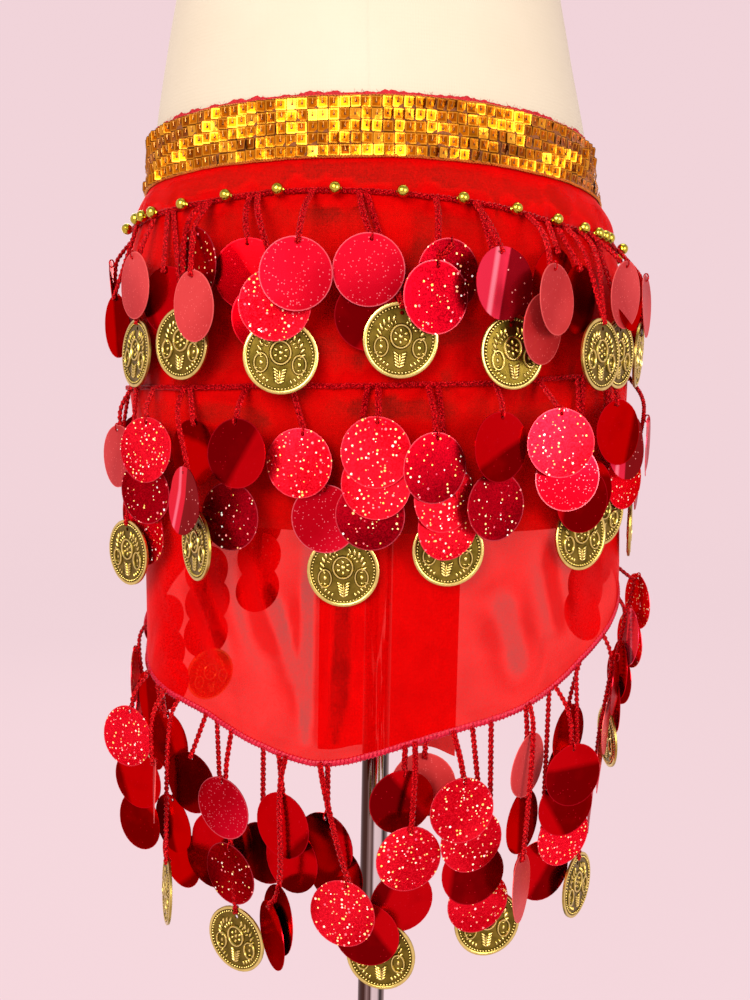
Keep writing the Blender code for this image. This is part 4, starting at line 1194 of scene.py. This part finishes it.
class DANCESCARF_OT_band(bpy.types.Operator):
    """Ribbon with five rows of square sequins, its corded edges and the raw edge above it"""

    bl_idname = "dance_scarf.band"
    bl_label = "Sequin band"

    def execute(self, context):
        source = np.random.default_rng(SEED)
        left, right = SCARF_CENTRE - SCARF_REACH + 0.5, SCARF_CENTRE + SCARF_REACH - 0.5
        arcs = np.linspace(left, right, 281)
        band = curve(LEVELS, arcs, 1)
        build = Build()
        down = np.linspace(0, 1, 12)[:, None]
        heights = band - BAND_HEIGHT * down
        arc = np.repeat(arcs[None], 12, 0)
        sag = 0.15 * MM * waves(arc / 9, 21)
        shell(build, place(arc, heights, 0.9 * MM + sag)[0], place(arc, heights, 0.35 * MM + sag)[0],
              np.stack([arc * MM, heights], -1))
        ribbon = build.finish("band_ribbon", [band_ribbon()], "sequins")
        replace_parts(ribbon, "sequin_band")

        side = settings("trim").sequin / 2
        cut = side * 0.72
        outline = np.array([(-cut, -side), (cut, -side), (side, -cut), (side, cut), (cut, side), (-cut, side),
                            (-side, cut), (-side, -cut)])
        eye = unit(outline) * 0.85 * MM
        local = np.concatenate([np.column_stack([shape, np.full(8, level * MM)]) for shape, level in (
            (outline, 0.10), (eye, -0.12), (outline, -0.02), (eye, -0.24))])
        ids, after = np.arange(8), np.roll(np.arange(8), -1)
        faces = np.concatenate([np.stack([ids, after, after + 8, ids + 8], 1),
                                np.stack([after + 16, ids + 16, ids + 24, after + 24], 1),
                                np.stack([after, ids, ids + 16, after + 16], 1)])
        sequins, stitches = Build(), Build()
        count = int((right - left) / SEQUIN_PITCH)
        for row in range(SEQUIN_ROWS):
            for column in range(count):
                at = left + (column + 0.5 + source.uniform(-0.06, 0.06)) * (right - left) / count
                top = float(curve(LEVELS, at, 1))
                height = top - BAND_HEIGHT * (row + 0.5) / SEQUIN_ROWS + source.uniform(-0.2, 0.2) * MM
                far = float(np.clip((abs(at + 8) - 75) / 90, 0, 1))
                lean = 0.10 + 0.30 * float(waves(at / 11 + row * 2.1, 31)) + source.normal(0, 0.10)
                lean = float(np.clip(lean + (0.30 if at < 0 else -0.25) * far, -0.5, 0.80))
                nod = source.normal(-0.05, 0.09)
                middle, outward, along = place(at, height, (1.35 + 1.9 * abs(math.sin(lean))) * MM)
                facing, across = turn(outward, along, lean)
                facing, up = turn(facing, UP, nod)
                # A sequin's tone is random, but lower on average towards the sides of the hips: painted shade
                # where the sequins turn away from the light.
                tone = float(np.clip(source.normal(0.50 - 0.06 * far, 0.21), 0, 1))
                points = set_in(local, middle, across, up, facing)
                sequins.add(points, faces, local[:, :2] / (2 * side) + 0.5, tone)
                stitch = np.array([middle + facing * 0.25 * MM + up * s * MM
                                   + across * source.uniform(-0.2, 0.2) * MM for s in (-0.2, 0.9, 1.9, 3.0)])
                stitch[-1] -= facing * 0.5 * MM
                tube(stitches, stitch, across, 0.26 * MM, 3)
        sheet = sequins.finish("sequins", [sequin_film()], "sequins", smooth=False)
        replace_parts(sheet, "sequin_band")
        thread = gold_thread()
        stitches.finish("sequin_stitches", [thread], "sequins")

        build = Build()
        for line, thick in ((band - 0.2 * MM, 0.52), (band - BAND_HEIGHT + 0.2 * MM, 0.48)):
            cord, at = spaced(place(arcs, line + 0.25 * MM * waves(arcs / 6, 41), 1.35 * MM)[0], 0.62 * MM)
            out, across = beside(cord)
            for strand in range(2):
                phase = at / (3.6 * MM) * math.tau + strand * math.pi
                centre = (cord + across * (0.55 * MM * np.sin(phase))[:, None]
                          + out * (0.35 * MM * np.cos(phase))[:, None])
                tube(build, centre, out, thick * MM, 3)
        build.finish("band_edge_cords", [thread], "sequins")

        build = Build()
        arcs = np.linspace(left, right, 560)
        band = curve(LEVELS, arcs, 1)
        rise = (2.4 + 1.0 * waves(arcs / 5, 51) + 0.7 * waves(arcs / 1.7, 52)) * MM
        rows = np.linspace(0, 1, 4)[:, None]
        heights = band - 0.5 * MM + (np.maximum(rise, 0.8 * MM) + 0.5 * MM) * rows
        arc = np.repeat(arcs[None], 4, 0)
        lean = 0.5 * MM * waves(arc / 4, 53) * rows
        shell(build, place(arc, heights, 0.35 * MM + lean)[0], place(arc, heights, -0.1 * MM + lean)[0])
        for _ in range(320):
            at = source.uniform(left, right)
            top = float(curve(LEVELS, at, 1))
            start, outward, along = place(at, top + 1.2 * MM, 0.1 * MM)
            reach = source.uniform(0.8, 2.6) * MM
            bend = source.uniform(-0.8, 0.8) * reach
            line = np.array([start, start + UP * reach * 0.6 + along * bend * 0.3 + outward * 0.2 * MM,
                             start + UP * reach + along * bend + outward * source.uniform(0, 0.8) * MM])
            tube(build, line, outward, 0.09 * MM, 3)
        build.finish("raw_edge", [frayed_chiffon()], "chiffon")
        return {"FINISHED"}


class DANCESCARF_OT_strings(bpy.types.Operator):
    """The two crocheted strings, the beads on the upper one, and the overlocked hem"""

    bl_idname = "dance_scarf.strings"
    bl_label = "Strings, beads and hem"

    def execute(self, context):
        yarn, width = crochet_yarn(), settings("trim").yarn
        period = width * CHAIN_PERIOD
        for name, column, reach, node in (("string_top", 2, 396, "fringe_top"),
                                          ("string_middle", 3, 352, "fringe_middle")):
            arcs = np.linspace(SCARF_CENTRE - reach, SCARF_CENTRE + reach, 500)
            height = curve(LEVELS, arcs, column) - LINE_DROP + 0.35 * MM * waves(arcs / 9, 61 + column)
            path = place(arcs, height, 1.5 * MM + relief(arcs, height))[0]
            build = Build()
            outward = unit(spaced(path, period / 9)[0] * OUTWARDS)
            plait(build, spaced(path, 0.9 * MM)[0], outward, width * 0.86, period)
            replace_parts(build.finish(name, [yarn], "fringe"), node)

        radius = settings("trim").bead / 2
        arcs = list(BEAD_ARCS)
        for side, last in ((-1, BEAD_ARCS[0]), (1, BEAD_ARCS[-1])):
            room = BEAD_REACH - side * (last - SCARF_CENTRE)
            arcs += [last + side * BEAD_SPACING * k for k in range(1, int(room / BEAD_SPACING) + 1)]
        profile = [(radius * math.cos(a), radius * math.sin(a)) for a in np.linspace(-1.25, 1.25, 13)]
        profile = [(0.5 * MM, -radius * 0.72), *profile, (0.5 * MM, radius * 0.72)]
        points, faces = turned(profile, 20)
        build = Build()
        for at in arcs:
            height = float(curve(LEVELS, at, 2)) - 0.6 * MM
            centre, outward, along = place(at, height, radius + 1.2 * MM)
            build.add(set_in(points.reshape(-1, 3), centre, outward, UP, along), faces)
        build.finish("beads", [plated_bead()], "sequins")

        build = Build()
        arcs = np.linspace(SCARF_CENTRE - SCARF_REACH + 0.3, SCARF_CENTRE + SCARF_REACH - 0.3, 900)
        height = hem_height(arcs) - 1.9 * MM + 0.3 * MM * waves(arcs / 6, 71)
        path = place(arcs, height, -0.3 * MM + relief(arcs, height))[0]
        line = spaced(path, 1.6 * MM)[0]
        out, across = beside(line)
        angle = np.linspace(0, math.tau, 10, endpoint=False)
        roll = (line[:, None] + across[:, None] * (1.9 * MM * np.cos(angle))[None, :, None]
                + out[:, None] * (0.85 * MM * np.sin(angle))[None, :, None])
        build.add(roll, [grid(len(line), 10, True)])
        stitch = 2.5 * MM
        line, at = spaced(path, stitch / 8)
        out, across = beside(line)
        phase = at / stitch * math.tau
        centre = (line + across * (2.1 * MM * np.cos(phase))[:, None]
                  + out * (1.0 * MM * np.sin(phase))[:, None])
        tube(build, centre, across, 0.48 * MM, 3)
        hem = build.finish("hem_overlock", [overlock_thread()], "fringe")
        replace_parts(hem, "fringe_hem")
        return {"FINISHED"}


class DANCESCARF_OT_chains(bpy.types.Operator):
    """Crochet chains that the discs hang on"""

    bl_idname = "dance_scarf.chains"
    bl_label = "Crochet chains"

    def execute(self, context):
        yarn, width = crochet_yarn(), settings("trim").yarn
        period = width * CHAIN_PERIOD
        for tier in TIERS:
            build = Build()
            for root, arc, row in disc_places(tier):
                starts = [(root, row[0]["away"])]
                if arc in SECOND_ROOTS[tier.name]:
                    starts.append(SECOND_ROOTS[tier.name][arc])
                for start, away in starts:
                    path = [place(start, tier.line(start), tier.inner * MM)[0]]
                    if away > KNEE_OUT:
                        height = float(tier.line(start)) - KNEE_DROP * MM
                        middle = (start * 2 + arc) / 3
                        knee = place(middle, tier.hang(middle, height), away * MM * 0.8)[0]
                        path.append(np.array([knee[0], knee[1], height]))
                    for disc in row:
                        last = disc is row[-1]
                        inward = 1.0 if last or disc["layer"] > 0 else -1.0
                        beyond = disc["facing"] * inward * (1.5 if last else 2.2) * MM
                        path.append(disc["hole"] + beyond + (0 if last else 1.0 * MM) * disc["up"])
                    line = spaced(rounded(np.array(path)), period / 9)[0]
                    plait(build, line, row[0]["outward"], width, period)
                for disc in row:
                    angle = np.linspace(0, math.tau, 11)
                    middle = disc["hole"] + disc["up"] * 1.9 * MM
                    loop = (middle + disc["up"] * (2.5 * MM * np.cos(angle))[:, None]
                            + disc["facing"] * (1.5 * MM * np.sin(angle))[:, None])
                    tube(build, loop, disc["side"], 0.5 * MM)
            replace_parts(build.finish("chains_" + tier.name, [yarn], "fringe"), tier.node)
        return {"FINISHED"}


class DANCESCARF_OT_paillettes(bpy.types.Operator):
    """Round paillettes of smooth and glitter film"""

    bl_idname = "dance_scarf.paillettes"
    bl_label = "Paillettes"

    def execute(self, context):
        films = {
            # G and g are one glitter foil, painted lit and painted in shade. M and S are one mirror foil,
            # painted with a dark and with a bright reflection.
            "G": glitter_foil("glitter_foil_bright", "#C40415", "#FF1A30", 0.8),
            "g": glitter_foil("glitter_foil_dark", "#6A0109", "#AC0418", 0.45),
            "M": smooth_foil("mirror_foil_dark", "#780005", "#C8040E", "#E02030", 0.2),
            "S": smooth_foil("mirror_foil_bright", "#AE0416", "#D8102A", "#FF8C98", 0.30, 1.0, 0.3, 0.6),
            "P": smooth_foil("pale_foil", "#A82224", "#C63A3A", "#F07470", 0.42, 0.3, 0.3, 0.4),
            "H": creased_foil(),
        }
        letters = list(films)
        radius = settings("trim").paillette / 2
        shape, faces, uv = disc_shape(radius, HOLE_DOWN, 1.15 * MM, 0.45 * MM)
        for tier in TIERS:
            build = Build()
            for _, _, row in disc_places(tier):
                for disc in row:
                    if disc["letter"] == "C":
                        continue
                    lean = disc["random"][0] * math.pi
                    across = (shape[:, 0] * math.cos(lean) + shape[:, 1] * math.sin(lean)) / radius
                    bend = (disc["random"][1] - 0.5) * 2.4 * MM
                    local = shape.copy()
                    local[:, 2] += bend * (across**2 - 0.3)
                    if disc["letter"] == "H":
                        local[:, 2] += 2.0 * MM * np.abs(across)
                    points = set_in(local, disc["centre"], disc["side"], disc["up"], disc["facing"])
                    build.add(points, faces, uv, disc["random"][2], letters.index(disc["letter"]))
            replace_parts(build.finish("paillettes_" + tier.name, list(films.values()), "fringe"), tier.node)
        return {"FINISHED"}


class DANCESCARF_OT_coins(bpy.types.Operator):
    """Struck coins with a generic pattern"""

    bl_idname = "dance_scarf.coins"
    bl_label = "Coins"

    def execute(self, context):
        trim = settings("trim")
        shape, faces, tones = coin_shape(trim.coin / 2, 1.0 * MM, trim.coin_beads)
        brass = antiqued_brass()
        for tier in TIERS:
            build = Build()
            for _, _, row in disc_places(tier):
                for disc in row:
                    if disc["letter"] != "C":
                        continue
                    points = set_in(shape, disc["centre"], disc["side"], disc["up"], disc["facing"])
                    build.add(points, faces, None, tones)
            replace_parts(build.finish("coins_" + tier.name, [brass], "fringe"), tier.node)
        return {"FINISHED"}


class DANCESCARF_OT_tie(bpy.types.Operator):
    """Ties, knot and loose ends behind"""

    bl_idname = "dance_scarf.tie"
    bl_label = "Tie"

    def execute(self, context):
        chiffon = sheer_chiffon("tie_chiffon", settings("cloth").tie_openness)
        thickness = settings("cloth").thickness * 2
        right_end, left_end = SCARF_CENTRE + SCARF_REACH + 0.6, SCARF_CENTRE - SCARF_REACH + GIRTH - 0.6
        for name, node, start, end in (("tie_cloth_right", "tie_right", right_end, KNOT_ARC - KNOT_OVERLAP),
                                       ("tie_cloth_left", "tie_left", left_end, KNOT_ARC + KNOT_OVERLAP)):
            t = np.linspace(0, 1, 30)[None]
            across = np.linspace(-1, 1, 33)[:, None]
            arc = start + (end - start) * t + 0 * across
            middle = float(curve(LEVELS, start, 1)) - TIE_WIDE / 2
            half = (TIE_WIDE + (TIE_NARROW - TIE_WIDE) * t) / 2
            height = middle + (KNOT_HEIGHT - middle) * t + half * across
            pleat = (0.5 + 0.6 * t) * MM * np.sin(across * 10 + 1.5 * t)
            build = Build()
            outer, inner = (place(arc, height, pleat - 0.1 * MM - under)[0] for under in (0, thickness))
            shell(build, outer, inner, np.stack([arc * MM, height], -1))
            tie = build.finish(name, [chiffon], "chiffon")
            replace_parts(tie, node)

        build = Build()
        centre, outward, along = place(KNOT_ARC, KNOT_HEIGHT, KNOT_HALF[1] + 0.3 * MM)
        turns, rows = 64, 33
        theta = np.linspace(0, math.tau, turns, endpoint=False)[None]
        phi = np.linspace(0.04, math.pi - 0.04, rows)[:, None]
        pleats = 1 - 0.05 * (0.5 + 0.5 * np.sin(7 * theta + 5 * phi)) * np.sin(phi)
        ball = np.stack([pleats * np.sin(phi) * np.cos(theta), pleats * np.sin(phi) * np.sin(theta),
                         pleats * np.cos(phi)], -1)
        points = set_in(ball * np.array(KNOT_HALF), centre, along, outward, UP)
        build.add(points, [grid(rows, turns, True), np.arange(turns)[None, ::-1],
                           (np.arange(turns) + (rows - 1) * turns)[None]],
                  np.stack([0.018 * theta + 0 * phi, 0.017 * phi + 0 * theta], -1))
        angle = np.linspace(0, math.tau, 49)[:, None]
        across = np.linspace(-1, 1, 11)[None]
        lift = 1.0 * MM + 0.5 * MM * np.cos(across * 7)
        wrap_x = 5.6 * MM * across + 2.1 * MM * np.sin(angle)
        wrap = set_in(np.stack([wrap_x, (KNOT_HALF[1] - 0.4 * MM + lift) * np.cos(angle),
                                (KNOT_HALF[2] - 0.9 * MM + lift * 0.6) * np.sin(angle)], -1),
                      centre, along, outward, UP)
        inner = centre + (wrap - centre) * 0.955
        shell(build, wrap, inner, np.stack([wrap_x, 0.016 * angle + 0 * across], -1))
        knot = build.finish("knot_cloth", [chiffon], "chiffon")
        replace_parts(knot, "tie_knot")

        top = KNOT_HEIGHT - KNOT_HALF[2] - 0.3 * MM
        for name, node, side in (("tail_cloth_left", "tail_left", 1), ("tail_cloth_right", "tail_right", -1)):
            t = np.linspace(0, 1, 120)[:, None]
            across = np.linspace(0, 1, 41)[None]
            open_share = np.minimum(t / 0.3, 1)
            width = TAIL_NARROW + (TAIL_WIDE - TAIL_NARROW) * open_share * (2 - open_share)
            height = top + (TAIL_END - top) * t + 0 * across
            arc = TAIL_ARC + side * (0.3 * MM + width * across) / MM
            crest = 5 * MM * np.sin(math.pi * across) * (0.6 + 0.4 * t)
            fold = 1.3 * MM * np.sin(across * (14 - 4 * t) + 2.2 * t + side) * np.clip(t * 6, 0.3, 1)
            out = KNOT_HALF[1] - TAIL_TUCK * (1 - open_share) + crest + fold
            outer, inner = (place(arc, np.maximum(height, TAIL_HANG), out + 0.6 * MM - under)[0]
                            for under in (0, thickness))
            for points in (outer, inner):
                points[..., 2] = height + 2.0 * MM * t * np.sin(across * 5 + side)
            build = Build()
            shell(build, outer, inner, np.stack([arc * MM, height], -1))
            tail = build.finish(name, [chiffon], "chiffon")
            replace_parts(tail, node)
        return {"FINISHED"}


OPERATORS = (DANCESCARF_OT_stage, DANCESCARF_OT_stand, DANCESCARF_OT_form, DANCESCARF_OT_cloth,
             DANCESCARF_OT_band, DANCESCARF_OT_strings, DANCESCARF_OT_chains, DANCESCARF_OT_paillettes,
             DANCESCARF_OT_coins, DANCESCARF_OT_tie)


class DANCESCARF_PT_panel(bpy.types.Panel):
    """Pieces of the scarf and its stand"""

    bl_idname = "DANCESCARF_PT_panel"
    bl_label = "Dance Scarf"
    bl_space_type = "VIEW_3D"
    bl_region_type = "UI"
    bl_category = "Dance Scarf"

    def draw(self, context):
        for name in ("cloth", "trim", "stage"):
            group = settings(name)
            for key in group.__annotations__:
                self.layout.prop(group, key)
        for operator in OPERATORS:
            self.layout.operator(operator.bl_idname)


SETTINGS = {"cloth": ClothSettings, "trim": TrimSettings, "stage": StageSettings}


def register():
    for group in (*SETTINGS.values(), *OPERATORS, DANCESCARF_PT_panel):
        bpy.utils.register_class(group)
    for name, group in SETTINGS.items():
        setattr(bpy.types.Scene, "dance_scarf_" + name, PointerProperty(type=group))


def unregister():
    for name in SETTINGS:
        delattr(bpy.types.Scene, "dance_scarf_" + name)
    for group in reversed((*SETTINGS.values(), *OPERATORS, DANCESCARF_PT_panel)):
        bpy.utils.unregister_class(group)


def main():
    register()
    for operator in OPERATORS:
        group, name = operator.bl_idname.split(".")
        getattr(getattr(bpy.ops, group), name)()


if __name__ == "__main__":
    main()
